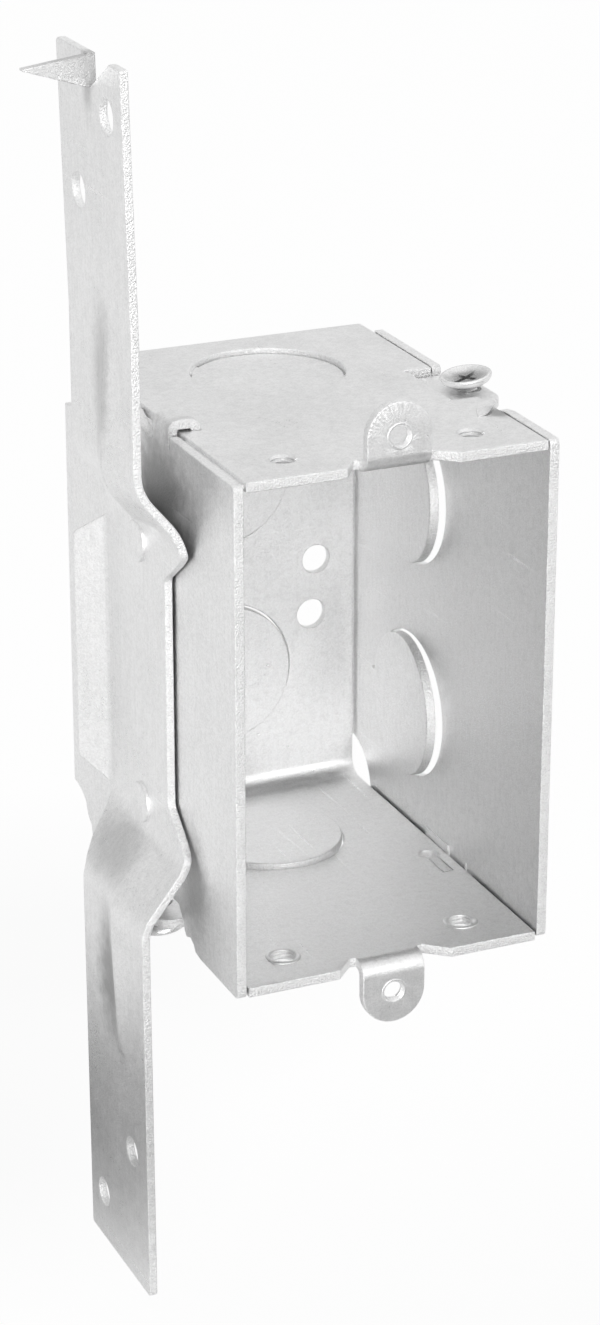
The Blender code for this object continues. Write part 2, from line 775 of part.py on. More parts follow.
def make_bracket(collection, helpers, material):
    strap = strap_line()
    flange = flange_line()
    holes = []
    for places, radius in (
        (UPPER_NAIL_HOLES, UPPER_NAIL_RADIUS),
        (LOWER_NAIL_HOLES, LOWER_NAIL_RADIUS),
    ):
        for distance, height in places:
            centre = (from_front(distance), strap.at_height(height))
            holes.append(ring(centre, radius, SMALL_CIRCLE_STEPS))

    def place(u, v):
        x, z = strap.point(v)
        y, out = flange.point(u)
        out += rib_rise(u, z)
        normal = strap.left_normal(v)
        return Vector((x + normal.x * out, y, z + normal.y * out))

    across, along = rib_scores(strap)
    mesh = make_blank(
        "stud_bracket",
        strap_outline(strap, flange),
        holes,
        across=[*across, *flange.marks[1:-1]],
        along=[*along, *strap.marks[1:-1]],
    )
    fold_sheet(mesh, place, Vector((-1, 0, 0)))
    bracket = make_object("stud_bracket", mesh, collection, material)
    thicken(bracket, STRAP_SHEET)
    button_y = from_front(BUTTON_FROM_FRONT)
    face = -(HALF_WIDTH + FIT_GAP + STRAP_SHEET)
    for number, height in enumerate(BUTTON_HEIGHTS):
        depth = BUTTON_RISE + OVERLAP
        middle = (face - BUTTON_RISE + depth / 2, button_y, height)
        frame = facing((-1, 0, 0), middle)
        name = f"button_{number}"
        button = make_cylinder(name, BUTTON_RADIUS, depth, SMALL_CIRCLE_STEPS, frame, helpers)
        boolean(bracket, button, "UNION", "MANIFOLD")
    boolean(bracket, make_spur(strap, helpers), "UNION", "MANIFOLD")
    return bracket


def make_spur(strap, helpers):
    """The pointed tooth at the top of the strap, standing outward from the rear tab's edge."""
    face = strap.point(strap.at_height(STRAP_TOP - SPUR_ROOT_HEIGHT)).x
    root = face + OVERLAP
    tip = face - SPUR_LENGTH
    front = from_front(SPUR_FOLD_FROM_FRONT) - SPUR_INSET
    rear = front + STRAP_SHEET
    side = [
        (root, STRAP_TOP - SPUR_INSET),
        (tip, STRAP_TOP - SPUR_TIP_DROP),
        (tip, STRAP_TOP - SPUR_TIP_DROP - SPUR_TIP_HEIGHT),
        (root, STRAP_TOP - SPUR_ROOT_HEIGHT),
    ]
    tooth = bmesh.new()
    verts = [tooth.verts.new((x, front, z)) for x, z in side]
    face = tooth.faces.new(verts)
    pulled = bmesh.ops.extrude_face_region(tooth, geom=[face])
    moved = [item for item in pulled["geom"] if isinstance(item, bmesh.types.BMVert)]
    bmesh.ops.translate(tooth, vec=(0, rear - front, 0), verts=moved)
    bmesh.ops.recalc_face_normals(tooth, faces=tooth.faces)
    mesh = bpy.data.meshes.new("spur_tooth")
    tooth.to_mesh(mesh)
    tooth.free()
    return make_object("spur_tooth", mesh, helpers)


def make_screw(name, side, collection, helpers, material):
    """A side screw: 1 is the one on the top right tongue, -1 the one on the bottom left."""
    lift = SCREW_HEAD_RADIUS * math.sin(SCREW_LEAN)
    under = HALF_HEIGHT - TONGUE_SINK + FIT_GAP + lift
    top = under + SCREW_HEAD_HEIGHT
    tip = under - SCREW_SHANK_LENGTH
    profile = [
        (0, top),
        (SCREW_HEAD_RADIUS - SCREW_HEAD_ROUND, top),
        (SCREW_HEAD_RADIUS - SCREW_HEAD_ROUND * 0.3, top - SCREW_HEAD_ROUND * 0.3),
        (SCREW_HEAD_RADIUS, top - SCREW_HEAD_ROUND),
        (SCREW_HEAD_RADIUS, under),
        (SCREW_SHANK_RADIUS, under),
        (SCREW_SHANK_RADIUS, tip + SCREW_HEAD_ROUND),
        (SCREW_SHANK_RADIUS - SCREW_HEAD_ROUND, tip),
        (0, tip),
    ]
    mesh = bpy.data.meshes.new(name)
    points = [(radius, 0, z) for radius, z in profile]
    mesh.from_pydata(points, [(i, i + 1) for i in range(len(points) - 1)], [])
    screw = make_object(name, mesh, collection, material)
    turn = screw.modifiers.new("turned", "SCREW")
    turn.angle = 2 * math.pi
    turn.steps = SMALL_CIRCLE_STEPS
    turn.render_steps = SMALL_CIRCLE_STEPS
    turn.use_merge_vertices = True
    turn.merge_threshold = 1e-5
    depth = top - SCREW_DRIVE_DEPTH
    above = top + OVERLAP
    half = SCREW_DRIVE_WIDTH / 2
    reaches = (SCREW_HEAD_RADIUS + OVERLAP, SCREW_CROSS_LENGTH / 2)
    spot = Vector((side * SCREW_FROM_MIDDLE, from_front(SCREW_FROM_FRONT), 0))
    frame = Matrix.Translation(spot)
    if side < 0:
        frame = frame @ Matrix.Rotation(math.pi, 4, "Y")
    pivot = Matrix.Translation((0, 0, HALF_HEIGHT - TONGUE_SINK - SHEET / 2))
    frame = frame @ pivot @ Matrix.Rotation(-SCREW_LEAN, 4, "Y") @ pivot.inverted()
    screw.matrix_world = frame
    for label, reach, angle in zip(("slot", "cross"), reaches, SCREW_DRIVE_ANGLES):
        cut = make_box(
            f"{name}_{label}",
            (-reach, -half, depth),
            (reach, half, above),
            frame @ Matrix.Rotation(angle, 4, "Z"),
            helpers,
        )
        boolean(screw, cut, "DIFFERENCE")
    return screw


def smooth_round_sides(obj):
    """Shades a round piece smooth and keeps its edges sharp."""
    obj.data.shade_smooth()
    obj.data.set_sharp_from_angle(angle=math.radians(30))


def main():
    clear_scene()
    collection = make_collection(OBJECT_NAME)
    helpers = make_collection(CUTTER_COLLECTION)
    helpers.hide_render = True
    box_zinc = make_metal("box_zinc", (0.72, 0.73, 0.74), 0.42)
    plate_zinc = make_metal("plate_zinc", (0.70, 0.71, 0.72), 0.42)
    strap_zinc = make_metal("strap_zinc", (0.70, 0.71, 0.72), 0.38)
    screw_zinc = make_metal("screw_zinc", (0.66, 0.67, 0.68), 0.30)
    make_body(collection, helpers, box_zinc)
    make_side_plate("right_side_plate", 1, True, collection, helpers, plate_zinc)
    make_side_plate("left_side_plate", -1, False, collection, helpers, plate_zinc)
    make_bracket(collection, helpers, strap_zinc)
    screws = [
        make_screw("side_screw_top_right", 1, collection, helpers, screw_zinc),
        make_screw("side_screw_bottom_left", -1, collection, helpers, screw_zinc),
    ]
    for screw in screws:
        smooth_round_sides(screw)


main()
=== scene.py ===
import json
import math

import bmesh
import bpy
from bpy.props import FloatProperty, FloatVectorProperty, PointerProperty
from mathutils import Matrix, Vector

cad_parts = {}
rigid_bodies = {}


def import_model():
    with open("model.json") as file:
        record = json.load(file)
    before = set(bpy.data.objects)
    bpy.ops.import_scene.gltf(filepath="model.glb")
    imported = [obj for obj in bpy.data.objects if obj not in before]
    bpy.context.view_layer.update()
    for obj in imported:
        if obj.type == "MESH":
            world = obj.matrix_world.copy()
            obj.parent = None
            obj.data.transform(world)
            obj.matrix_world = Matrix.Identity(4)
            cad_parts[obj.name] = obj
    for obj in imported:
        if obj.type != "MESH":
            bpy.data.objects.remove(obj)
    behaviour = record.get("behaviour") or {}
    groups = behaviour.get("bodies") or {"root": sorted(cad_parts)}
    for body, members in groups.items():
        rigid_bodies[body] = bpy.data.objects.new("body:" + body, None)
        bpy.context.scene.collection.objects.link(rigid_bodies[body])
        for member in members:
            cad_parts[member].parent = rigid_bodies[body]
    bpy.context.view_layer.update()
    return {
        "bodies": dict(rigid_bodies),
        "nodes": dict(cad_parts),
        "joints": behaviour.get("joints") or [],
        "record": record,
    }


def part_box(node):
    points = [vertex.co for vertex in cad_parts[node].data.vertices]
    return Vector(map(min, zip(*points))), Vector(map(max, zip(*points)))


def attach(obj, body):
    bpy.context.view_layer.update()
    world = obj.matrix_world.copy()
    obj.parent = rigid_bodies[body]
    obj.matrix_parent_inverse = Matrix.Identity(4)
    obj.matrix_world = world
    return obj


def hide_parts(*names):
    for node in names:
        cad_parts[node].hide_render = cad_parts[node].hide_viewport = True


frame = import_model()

bl_info = {
    "name": "Steel switch box",
    "version": (1, 0, 0),
    "blender": (4, 5, 0),
    "location": "3D View > Sidebar > Switch Box",
    "description": "Builds a folded steel switch box with side plates, a strap bracket and screws",
    "category": "Add Mesh",
}

BODY_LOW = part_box("box_body")[0]
PLATE_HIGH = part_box("right_side_plate")[1]
STRAP_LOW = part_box("stud_bracket")[0]

# Box
HALF_WIDTH = PLATE_HIGH.x
BOX_DEPTH = -BODY_LOW.y
HALF_HEIGHT = 0.0381
FIT_GAP = 0.0003
REAR_BEND = 0.0040

# Device ears
EAR_WIDTH = 0.0097
EAR_HOLE_SPACING = 0.0833
EAR_HOLE_RADIUS = 0.0016
EAR_BEND = 0.0009
EAR_NOTCH_DEPTH = 0.0028
EAR_NOTCH_FLOOR = 0.0009
EAR_NOTCHES_TOP = (0.0044, 0.0028)
EAR_NOTCHES_BOTTOM = (0.0036, 0.0043)
EAR_NOTCH_ROUND = 0.0004

# Small holes of the body
TAPPED_HOLE_RADIUS = 0.0019
TAPPED_HOLE_SPREAD = 0.0141
TAPPED_HOLE_FROM_FRONT = 0.0073
BACK_HOLES = ((0.0160, 0.0003, 0.0023), (0.0152, -0.0087, 0.0024))

# Collars of the small holes: inner radius, outer radius and rise
TAPPED_COLLAR = (0.00180, 0.00255, 0.00018)
EAR_COLLAR = (0.00158, 0.00196, 0.00008)

# Threads of the small holes: ridge, turns, and length as a share of the sheet's thickness
TAPPED_THREAD_RIDGE = 0.00028
TAPPED_THREAD_TURNS = 2.2
TAPPED_THREAD_SHARE = 0.9

# Knockouts
KNOCKOUT_RADIUS = 0.0111
KNOCKOUT_SLIT = 0.0003
KNOCKOUT_PUSH = 0.0008
KNOCKOUT_TIE_REACH = 0.0011
KNOCKOUT_TIE_HALF_WIDTH = 0.0015
WALL_KNOCKOUT_FROM_FRONT = 0.0450
WALL_KNOCKOUT_TIE = math.radians(141)
BACK_KNOCKOUT_RISE = 0.0163
PLATE_KNOCKOUT_FROM_FRONT = 0.0435
PLATE_KNOCKOUT_RISE = 0.0173
PLATE_KNOCKOUT_TILT = math.radians(3.9)

# Side plates
PLATE_SHORTFALL = 0.0004
PLATE_FRONT_CORNER = 0.0008
PLATE_REAR_NOTCH = 0.0076
PLATE_NOTCH_REAR = 0.0372
PLATE_NOTCH_FRONT = 0.0137
PLATE_NOTCH_ROUND = 0.0008
PLATE_NOTCH_TORN_EDGE = (
    (0.0218, 0.0052),
    (0.0207, 0.0038),
    (0.0201, 0.0032),
    (0.0198, 0.0021),
    (0.0190, 0.0013),
    (0.0175, 0.0018),
    (0.0163, 0.0012),
    (0.0156, 0.0003),
)
PLATE_NOTCH_DEPTH = 0.0054
PLATE_PATH_REACH = 1.2
HOOK_FRONT = 0.0235
HOOK_REAR = 0.0290
HOOK_SCALLOP = ((0.0303, 0.0022), (0.0320, 0.0021), (0.0338, 0.0014), (0.0352, 0.0006))
HOOK_SCALLOP_END = 0.0366
HOOK_BEND = 0.0017
HOOK_RUN = 0.0050
HOOK_RELIEF = 0.0006
HOOK_RELIEF_DEPTH = 0.0020
HOOK_TIP_BELOW_WALL = 0.00005
HOOK_SLOT_REAR = 0.0315
HOOK_SLOT_INNER = 0.0182
HOOK_SLOT_WEB = 0.00105
HOOK_CLEARANCE = 0.00012

# Torn flake on the top wall, as places from the middle and from the front
FLAKE = (
    (0.0181, 0.0129),
    (0.0199, 0.0134),
    (0.0212, 0.0147),
    (0.0224, 0.0160),
    (0.0227, 0.0175),
    (0.0207, 0.0177),
    (0.0192, 0.0158),
)
FLAKE_SHEET = 0.0003
FLAKE_LEAN = math.radians(9)

# Seams between the body and the side plates, and the sliver in the right plate's scallop
SEAM_DEPTH = 0.0005
SEAM_START = 0.0008
SEAM_END_GAP = 0.0004
SEAM_SIDE_GAP = 0.00002
SLIVER_HEIGHT = 0.0024

# Tongues and their screws
TONGUE_FRONT = 0.0222
TONGUE_REAR = 0.0364
TONGUE_REACH = 0.0272
TONGUE_CORNER = 0.0030
TONGUE_SINK = 0.0012
TONGUE_SINK_START = 0.0180
TONGUE_SINK_END = 0.0202
TONGUE_SLIT = 0.0006
SCREW_FROM_FRONT = 0.0290
SCREW_FROM_MIDDLE = 0.0245
SCREW_HOLE_RADIUS = 0.0019
SCREW_HEAD_RADIUS = 0.0038
SCREW_HEAD_HEIGHT = 0.0015
SCREW_SHANK_RADIUS = 0.00122
SCREW_SHANK_LENGTH = 0.0042
SCREW_TIP_LENGTH = 0.0005
SCREW_TIP_SHARE = 0.7
SCREW_THREAD_RIDGE = 0.00022
SCREW_THREAD_PITCH = 0.0007
SCREW_THREAD_START = 0.0004
SCREW_LEAN = math.radians(8)
SCREW_TURN = math.radians(24)

# The head from its underside over the rim into the dish, as shares of its radius and height
SCREW_HEAD_SHARES = (
    (0.60, 0.00),
    (0.78, 0.10),
    (0.91, 0.32),
    (0.98, 0.60),
    (1.00, 0.80),
    (0.985, 0.93),
    (0.94, 1.00),
    (0.89, 0.99),
    (0.84, 0.92),
    (0.76, 0.78),
    (0.62, 0.66),
    (0.42, 0.60),
    (0.20, 0.58),
    (0.00, 0.58),
)

# The slot and the cross slot of a head, and how their floors are narrower than their tops
DRIVE_HALF_WIDTH = 0.00048
DRIVE_TAPERS = (0.55, 0.72)
DRIVE_TOP_SHARE = 1.2
SLOT_REACH = SCREW_HEAD_RADIUS * 0.86
SLOT_DEPTH = 0.0011
CROSS_REACH = 0.0023
CROSS_DEPTH = 0.0012

# Strap bracket
STRAP_SHEET = 0.00125
STRAP_FRONT = 0.0148
STRAP_WIDTH = 0.0240
STRAP_TOP = 0.0910
STRAP_BOTTOM = -0.0928
STRAP_OFFSET = 0.0069
STRAP_TOP_LEAN = 0.0009
STRAP_BOTTOM_LEAN = 0.0002
STRAP_LEAN_START = 0.0540
UPPER_JOG = (0.0245, 0.0328)
LOWER_JOG = (-0.0235, -0.0323)
UPPER_JOG_BENDS = (0.0105, 0.0082)
LOWER_JOG_BENDS = (0.0080, 0.0060)
LEAN_BEND = 0.0500
WAIST_FROM_FRONT = 0.0216
WAIST = (-0.0170, 0.0176)
WING_TIPS = (-0.0226, 0.0226)
WING_TIP_ROUND = 0.0016
FLANGE_FOLD_FROM_FRONT = 0.0442
FLANGE_BEND = 0.0015
FLANGE_LENGTH = 0.0054
FLANGE_ANGLE = math.radians(45)
FLANGE_FOLD_SPAN = (-0.0224, 0.0200)
FLANGE_EDGE_SPAN = (-0.0188, 0.0166)
SHOULDERS = (-0.0290, 0.0280)
STRAP_CORNER = 0.0006
STRAP_TOP_CORNER = 0.0004
JOG_CORNER = 0.0020
SHOULDER_CORNER = 0.0030
FLANGE_CORNER = 0.0008
BUTTON_FROM_FRONT = 0.0318
BUTTON_HEIGHTS = (-0.0204, 0.0200)
BUTTON_RADIUS = 0.0031
BUTTON_RISE = 0.0005
BUTTON_FOOT = -0.0006
BUTTON_RIM = ((0, 0.5), (0.00008, 0.8), (0.00028, 1))
UPPER_NAIL_HOLES = ((0.0205, 0.0838), (0.0325, 0.0712))
UPPER_NAIL_RADIUS = 0.0025
LOWER_NAIL_HOLES = ((0.0209, -0.0713), (0.0334, -0.0848))
LOWER_NAIL_RADIUS = 0.0022
RIB_FROM_FRONT = 0.0238
RIB_FRONT_WIDTHS = ((0.0, 0.0085), (0.25, 0.0065), (1.0, 0.0022))
UPPER_RIB_REAR_WIDTHS = ((0.0, 0.0065), (0.25, 0.0065), (1.0, 0.0022))
LOWER_RIB_REAR_WIDTHS = ((0.0, 0.0145), (0.16, 0.0140), (0.30, 0.0065), (1.0, 0.0022))
RIB_RISE = 0.0017
RIB_FOOT = 0.12
RIB_SHARPNESS = 1.5
RIB_FULLNESS = 0.5
UPPER_RIB = (0.0240, 0.0560)
LOWER_RIB = (-0.0240, -0.0570)
RIB_ROWS = 40
RIB_COLUMNS = 34
SPUR_FOLD_FROM_FRONT = 0.0268
SPUR_NOTCH_DEPTH = 0.0048
SPUR_NOTCH_END = 0.0189
SPUR_NOTCH_CORNERS = (0.0003, 0.0004)
SPUR_LENGTH = 0.0090
SPUR_ROOT_HEIGHT = 0.0049
SPUR_TIP_DROP = 0.0014
SPUR_TIP_HEIGHT = 0.0003
SPUR_ROOT_SHARE = 0.8
SPUR_INSET = 0.0001
TAB_CORNER = 0.0009

# Darker zones of the studio: direction, where one is darkest, where it ends and how deep it is
DARK_ZONES = (((-0.52, 0.81, 0.29), math.radians(9), math.radians(24), 0.15),)

# Patches of painted shade on the floor, which bent metal mirrors: place, where one is darkest, where
# it ends and how deep it is
FLOOR_PAINTED_SHADE = (
    ((-0.048, 0.008), 0.008, 0.052, 0.92),
    ((-0.010, 0.070), 0.015, 0.070, 0.80),
    ((-0.190, 0.030), 0.010, 0.060, 0.45),
    ((0.090, -0.290), 0.120, 0.300, 0.82),
)

# How much of the floor and the surrounding is plain white where it is seen and where mirrored
SEEN_SHARE = 0.95
MIRRORED_SHARE = 0.22

# Heights of the directions in which the surrounding has its low and its high tone
WORLD_HEIGHTS = (-0.6, 0.9)

# Floor, and lamps that point at one place: the place and the size of each
FLOOR_HALF_SIZE = 3.0
STAGE_MIDDLE = (0, -0.03, 0)
LAMPS = {
    "key": ((-0.46, -1.00, 0.14), 0.75),
    "front": ((0.42, -0.98, 0.42), 0.6),
    "fill": ((0.35, 0.10, 1.20), 1.7),
}

# Camera, solved from the box's corners in the photo
CAMERA_PLACE = (-0.19157, -0.46699, 0.18807)
CAMERA_TURN = (math.radians(90 - 21.92), 0, math.radians(-23.75))
CAMERA_LENS = 63.23
CAMERA_SENSOR_HEIGHT = 24

# How finely things are drawn
CIRCLE_STEPS = 96
SMALL_CIRCLE_STEPS = 40
BEND_STEPS = 12
CORNER_STEPS = 6
EDGE_STEPS = 3
TONGUE_STEPS = 10
TOLERANCE = 1e-6
SCORE_TOLERANCE = 1e-7
SHARPEST_STEP = 0.4
SMOOTH_UP_TO = math.radians(38)
FACE_WEIGHT = 80

BODY_HALF_WIDTH = 0.02245
EAR_HALF_WIDTH = EAR_WIDTH / 2
EAR_HOLE_HEIGHT = EAR_HOLE_SPACING / 2
EAR_TIP_HEIGHT = EAR_HOLE_HEIGHT + EAR_HALF_WIDTH


# Outlines and bent lines


def from_front(distance):
    """Y of a place measured from the box's open front."""
    return distance - BOX_DEPTH


def ring(centre, radius, steps, start=0.0, sweep=2 * math.pi):
    """Points round a circle, or round a part of one that includes both ends."""
    whole = abs(sweep) >= 2 * math.pi
    count = steps if whole else steps + 1
    return [
        (
            centre[0] + radius * math.cos(start + sweep * i / steps),
            centre[1] + radius * math.sin(start + sweep * i / steps),
        )
        for i in range(count)
    ]


def rounded_points(corners, radii, steps):
    """The corners of a bent line, with each inner one replaced by an arc of its radius."""
    corners = [Vector(corner) for corner in corners]
    points = [corners[0]]
    for before, corner, after, radius in zip(corners, corners[1:], corners[2:], radii):
        arriving = (corner - before).normalized()
        leaving = (after - corner).normalized()
        turn = arriving.angle(leaving)
        side = math.copysign(1, arriving.x * leaving.y - arriving.y * leaving.x)
        start = corner - arriving * radius * math.tan(turn / 2)
        centre = start + Vector((-arriving.y, arriving.x)) * side * radius
        for i in range(steps + 1):
            points.append(centre + Matrix.Rotation(side * turn * i / steps, 2) @ (start - centre))
    points.append(corners[-1])
    return points


def rounded_corner(before, corner, after, radius):
    """The arc that rounds one corner of an outline."""
    points = rounded_points([before, corner, after], [radius], CORNER_STEPS)
    return [tuple(point) for point in points[1:-1]]


def rounded_outline(corners):
    """The points of a closed outline from (u, v, radius) corners, where radius 0 is sharp."""
    places = [corner[:2] for corner in corners]
    points = []
    for i, (*place, radius) in enumerate(corners):
        after = places[(i + 1) % len(places)]
        points += rounded_corner(places[i - 1], place, after, radius) if radius else [tuple(place)]
    return points


class BentLine:
    """A bent line in a plane, with distances measured along it."""

    def __init__(self, corners, radii, start=None):
        """Distances begin at start, or are zero half way along when start is left out."""
        self.points = rounded_points(corners, radii, BEND_STEPS)
        self.marks = [0.0]
        for here, there in zip(self.points, self.points[1:]):
            self.marks.append(self.marks[-1] + (there - here).length)
        first = -self.marks[-1] / 2 if start is None else start
        self.marks = [mark + first for mark in self.marks]

    def at_height(self, height):
        """Distance at which a line that only rises reaches this height."""
        i = sum(point.y < height for point in self.points[1:-1])
        low = self.points[i].y
        part = (height - low) / (self.points[i + 1].y - low)
        return self.marks[i] + part * (self.marks[i + 1] - self.marks[i])

    def height_at(self, distance):
        """Height of the place this far along the line."""
        i = min(sum(mark <= distance for mark in self.marks[1:]), len(self.points) - 2)
        part = (distance - self.marks[i]) / (self.marks[i + 1] - self.marks[i])
        return self.points[i].y + part * (self.points[i + 1].y - self.points[i].y)


def turned(points):
    """Points of a blank turned half round in its plane."""
    return [(-u, -v) for u, v in points]


def ease(part):
    """A smooth step from 0 to 1."""
    part = min(1, max(0, part))
    return part * part * (3 - 2 * part)


# Flat sheets with rounded edges


def with_material_left(loop, is_hole):
    """The loop in the direction that leaves the sheet on its left side."""
    area = 0
    for (u1, v1), (u2, v2) in zip(loop, loop[1:] + loop[:1]):
        area += u1 * v2 - u2 * v1
    return loop if (area > 0) != is_hole else loop[::-1]


def inward_steps(loop):
    """For each corner of a loop, how it moves when the loop shrinks into the sheet by 1."""
    steps = []
    for i, corner in enumerate(loop):
        here = Vector(corner)
        arriving = (here - Vector(loop[i - 1])).normalized()
        leaving = (Vector(loop[(i + 1) % len(loop)]) - here).normalized()
        first = Vector((-arriving.y, arriving.x))
        second = Vector((-leaving.y, leaving.x))
        steps.append((first + second) / max(SHARPEST_STEP, 1 + first.dot(second)))
    return steps


def edge_layers(thickness, rounding):
    """(inset, depth, edge mark) of each layer from a sheet's outer face to its inner one."""
    front = []
    for i in range(EDGE_STEPS + 1):
        angle = math.pi / 2 * i / EDGE_STEPS
        front.append((rounding * (1 - math.sin(angle)), rounding * (1 - math.cos(angle)), i > 0))
    back = [(inset, thickness - depth, mark) for inset, depth, mark in reversed(front)]
    return front + back


def finished_mesh(name, solid):
    """The mesh of a finished bmesh."""
    mesh = bpy.data.meshes.new(name)
    solid.to_mesh(mesh)
    solid.free()
    return mesh


def flat_sheet(name, outline, holes, thickness, rounding, across=(), along=(), press=None):
    """A closed flat sheet in X and Y, outer face at Z 0, with rounded edges.

    It is scored at the given distances across and along it. press(u, v) says how far a place
    is pushed out of the plane. The attribute "sheared" marks the cut edges.
    """
    sheet = bmesh.new()
    sheared = sheet.verts.layers.float.new("sheared")
    loops = [with_material_left(list(outline), False)]
    loops += [with_material_left(list(hole), True) for hole in holes]
    layers = edge_layers(thickness, rounding)
    caps = ([], [])
    for loop in loops:
        steps = inward_steps(loop)
        rows = []
        for inset, depth, mark in layers:
            row = []
            for (u, v), step in zip(loop, steps):
                vert = sheet.verts.new((u + inset * step.x, v + inset * step.y, -depth))
                vert[sheared] = float(mark)
                row.append(vert)
            rows.append(row)
        for upper, lower in zip(rows, rows[1:]):
            for i in range(len(loop)):
                j = (i + 1) % len(loop)
                sheet.faces.new((upper[i], lower[i], lower[j], upper[j]))
        for cap, row in zip(caps, (rows[0], rows[-1])):
            for i, vert in enumerate(row):
                cap.append(sheet.edges.get((vert, row[(i + 1) % len(row)])))
    for cap in caps:
        bmesh.ops.triangle_fill(sheet, use_beauty=True, edges=cap)
    for axis, distances in ((0, across), (1, along)):
        normal = Vector((axis == 0, axis == 1, 0))
        for distance in distances:
            plane = {"plane_co": normal * distance, "plane_no": normal}
            parts = [*sheet.verts, *sheet.edges, *sheet.faces]
            bmesh.ops.bisect_plane(sheet, geom=parts, dist=SCORE_TOLERANCE, **plane)
    bmesh.ops.recalc_face_normals(sheet, faces=sheet.faces)
    if press:
        for vert in sheet.verts:
            vert.co.z += press(vert.co.x, vert.co.y)
    return finished_mesh(name, sheet)


# Geometry node trees


def new_tree(name, kind, inputs, outputs):
    """A node tree, and the sockets inside it that give its inputs and take its outputs.

    Each input is a label, a kind and where needed a default. Each output is a label and a kind.
    """
    tree = bpy.data.node_groups.new(name, kind)
    for way, sockets in (("INPUT", inputs), ("OUTPUT", outputs)):
        for label, socket_kind, *default in sockets:
            socket_type = "NodeSocket" + socket_kind
            socket = tree.interface.new_socket(label, in_out=way, socket_type=socket_type)
            if default:
                socket.default_value = default[0]
    return tree, tree.nodes.new("NodeGroupInput").outputs, tree.nodes.new("NodeGroupOutput").inputs


def add_node(tree, kind, inputs=None, **settings):
    """A node with its settings, and each named or numbered input linked or set."""
    node = tree.nodes.new(kind)
    for name, value in settings.items():
        setattr(node, name, value)
    for key, value in (inputs or {}).items():
        socket = node.inputs[key]
        if isinstance(value, bpy.types.NodeSocket):
            tree.links.new(value, socket)
        else:
            socket.default_value = value
    return node


def math_node(tree, operation, *values):
    """The result of one math step on numbers."""
    kind = "ShaderNodeMath"
    return add_node(tree, kind, dict(enumerate(values)), operation=operation).outputs[0]


def vector_node(tree, operation, *values):
    """The result of one math step on vectors."""
    kind = "ShaderNodeVectorMath"
    return add_node(tree, kind, dict(enumerate(values)), operation=operation).outputs[0]


def scaled(tree, vector, factor):
    """A vector or colour times a number."""
    inputs = {"Vector": vector, "Scale": factor}
    return add_node(tree, "ShaderNodeVectorMath", inputs, operation="SCALE").outputs[0]


def position_parts(tree):
    """X, Y and Z of each place of a mesh."""
    here = add_node(tree, "GeometryNodeInputPosition")
    return add_node(tree, "ShaderNodeSeparateXYZ", {0: here.outputs[0]}).outputs


def object_geometry(tree, given):
    """The geometry of a given object, in that object's own space."""
    kind = "GeometryNodeObjectInfo"
    return add_node(tree, kind, {"Object": given}, transform_space="ORIGINAL").outputs["Geometry"]


def modifier_tree(name, inputs):
    """A tree for a modifier, with its geometry as first input and its material as last one."""
    inputs = [("Geometry", "Geometry"), *inputs, ("Material", "Material")]
    return new_tree(name, "GeometryNodeTree", inputs, [("Geometry", "Geometry")])


def finish_tree(tree, group, out, geometry):
    """Ends a modifier's tree in Realize Instances and Set Material."""
    real = add_node(tree, "GeometryNodeRealizeInstances", {0: geometry})
    inputs = {"Geometry": real.outputs[0], "Material": group["Material"]}
    shaded = add_node(tree, "GeometryNodeSetMaterial", inputs)
    tree.links.new(shaded.outputs[0], out[0])
    return tree


def path_place_tree():
    """A place of a sheet carried to its place beside a path."""
    inputs = [("Path", "Geometry"), ("Start", "Float"), ("Side", "Vector", (1, 0, 0))]
    outputs = [("Position", "Vector")]
    tree, group, out = new_tree("Place Beside Path", "GeometryNodeTree", inputs, outputs)
    across, along, height = position_parts(tree)
    distance = math_node(tree, "SUBTRACT", along, group["Start"])
    inputs = {"Curves": group["Path"], "Length": distance}
    sample = add_node(tree, "GeometryNodeSampleCurve", inputs, mode="LENGTH", use_all_curves=True)
    outward = vector_node(tree, "CROSS_PRODUCT", sample.outputs["Tangent"], group["Side"])
    outward = vector_node(tree, "NORMALIZE", outward)
    shift = scaled(tree, group["Side"], across)
    place = vector_node(tree, "ADD", sample.outputs["Position"], shift)
    place = vector_node(tree, "ADD", place, scaled(tree, outward, height))
    tree.links.new(place, out[0])
    return tree


def fold_tree():
    """Folds a flat sheet along a path. A tab in the middle may follow a path of its own."""
    inputs = [
        ("Path", "Object"),
        ("Start", "Float"),
        ("Tab Path", "Object"),
        ("Tab Start", "Float"),
        ("Tab Centre", "Float"),
        ("Tab Half Width", "Float", -1),
        ("Side", "Vector", (1, 0, 0)),
    ]
    tree, group, out = modifier_tree("Fold Sheet", inputs)
    place_tree = node_tree("Place Beside Path", path_place_tree)
    places = []
    for prefix in ("", "Tab "):
        path = object_geometry(tree, group[prefix + "Path"])
        inputs = {"Path": path, "Start": group[prefix + "Start"], "Side": group["Side"]}
        places.append(add_node(tree, "GeometryNodeGroup", inputs, node_tree=place_tree).outputs[0])
    off = math_node(tree, "SUBTRACT", position_parts(tree)[0], group["Tab Centre"])
    inputs = {"A": math_node(tree, "ABSOLUTE", off), "B": group["Tab Half Width"]}
    in_tab = add_node(tree, "FunctionNodeCompare", inputs, data_type="FLOAT", operation="LESS_EQUAL")
    inputs = {"Switch": in_tab.outputs[0], "False": places[0], "True": places[1]}
    chosen = add_node(tree, "GeometryNodeSwitch", inputs, input_type="VECTOR")
    inputs = {"Geometry": group["Geometry"], "Position": chosen.outputs[0]}
    moved = add_node(tree, "GeometryNodeSetPosition", inputs)
    return finish_tree(tree, group, out, moved.outputs[0])


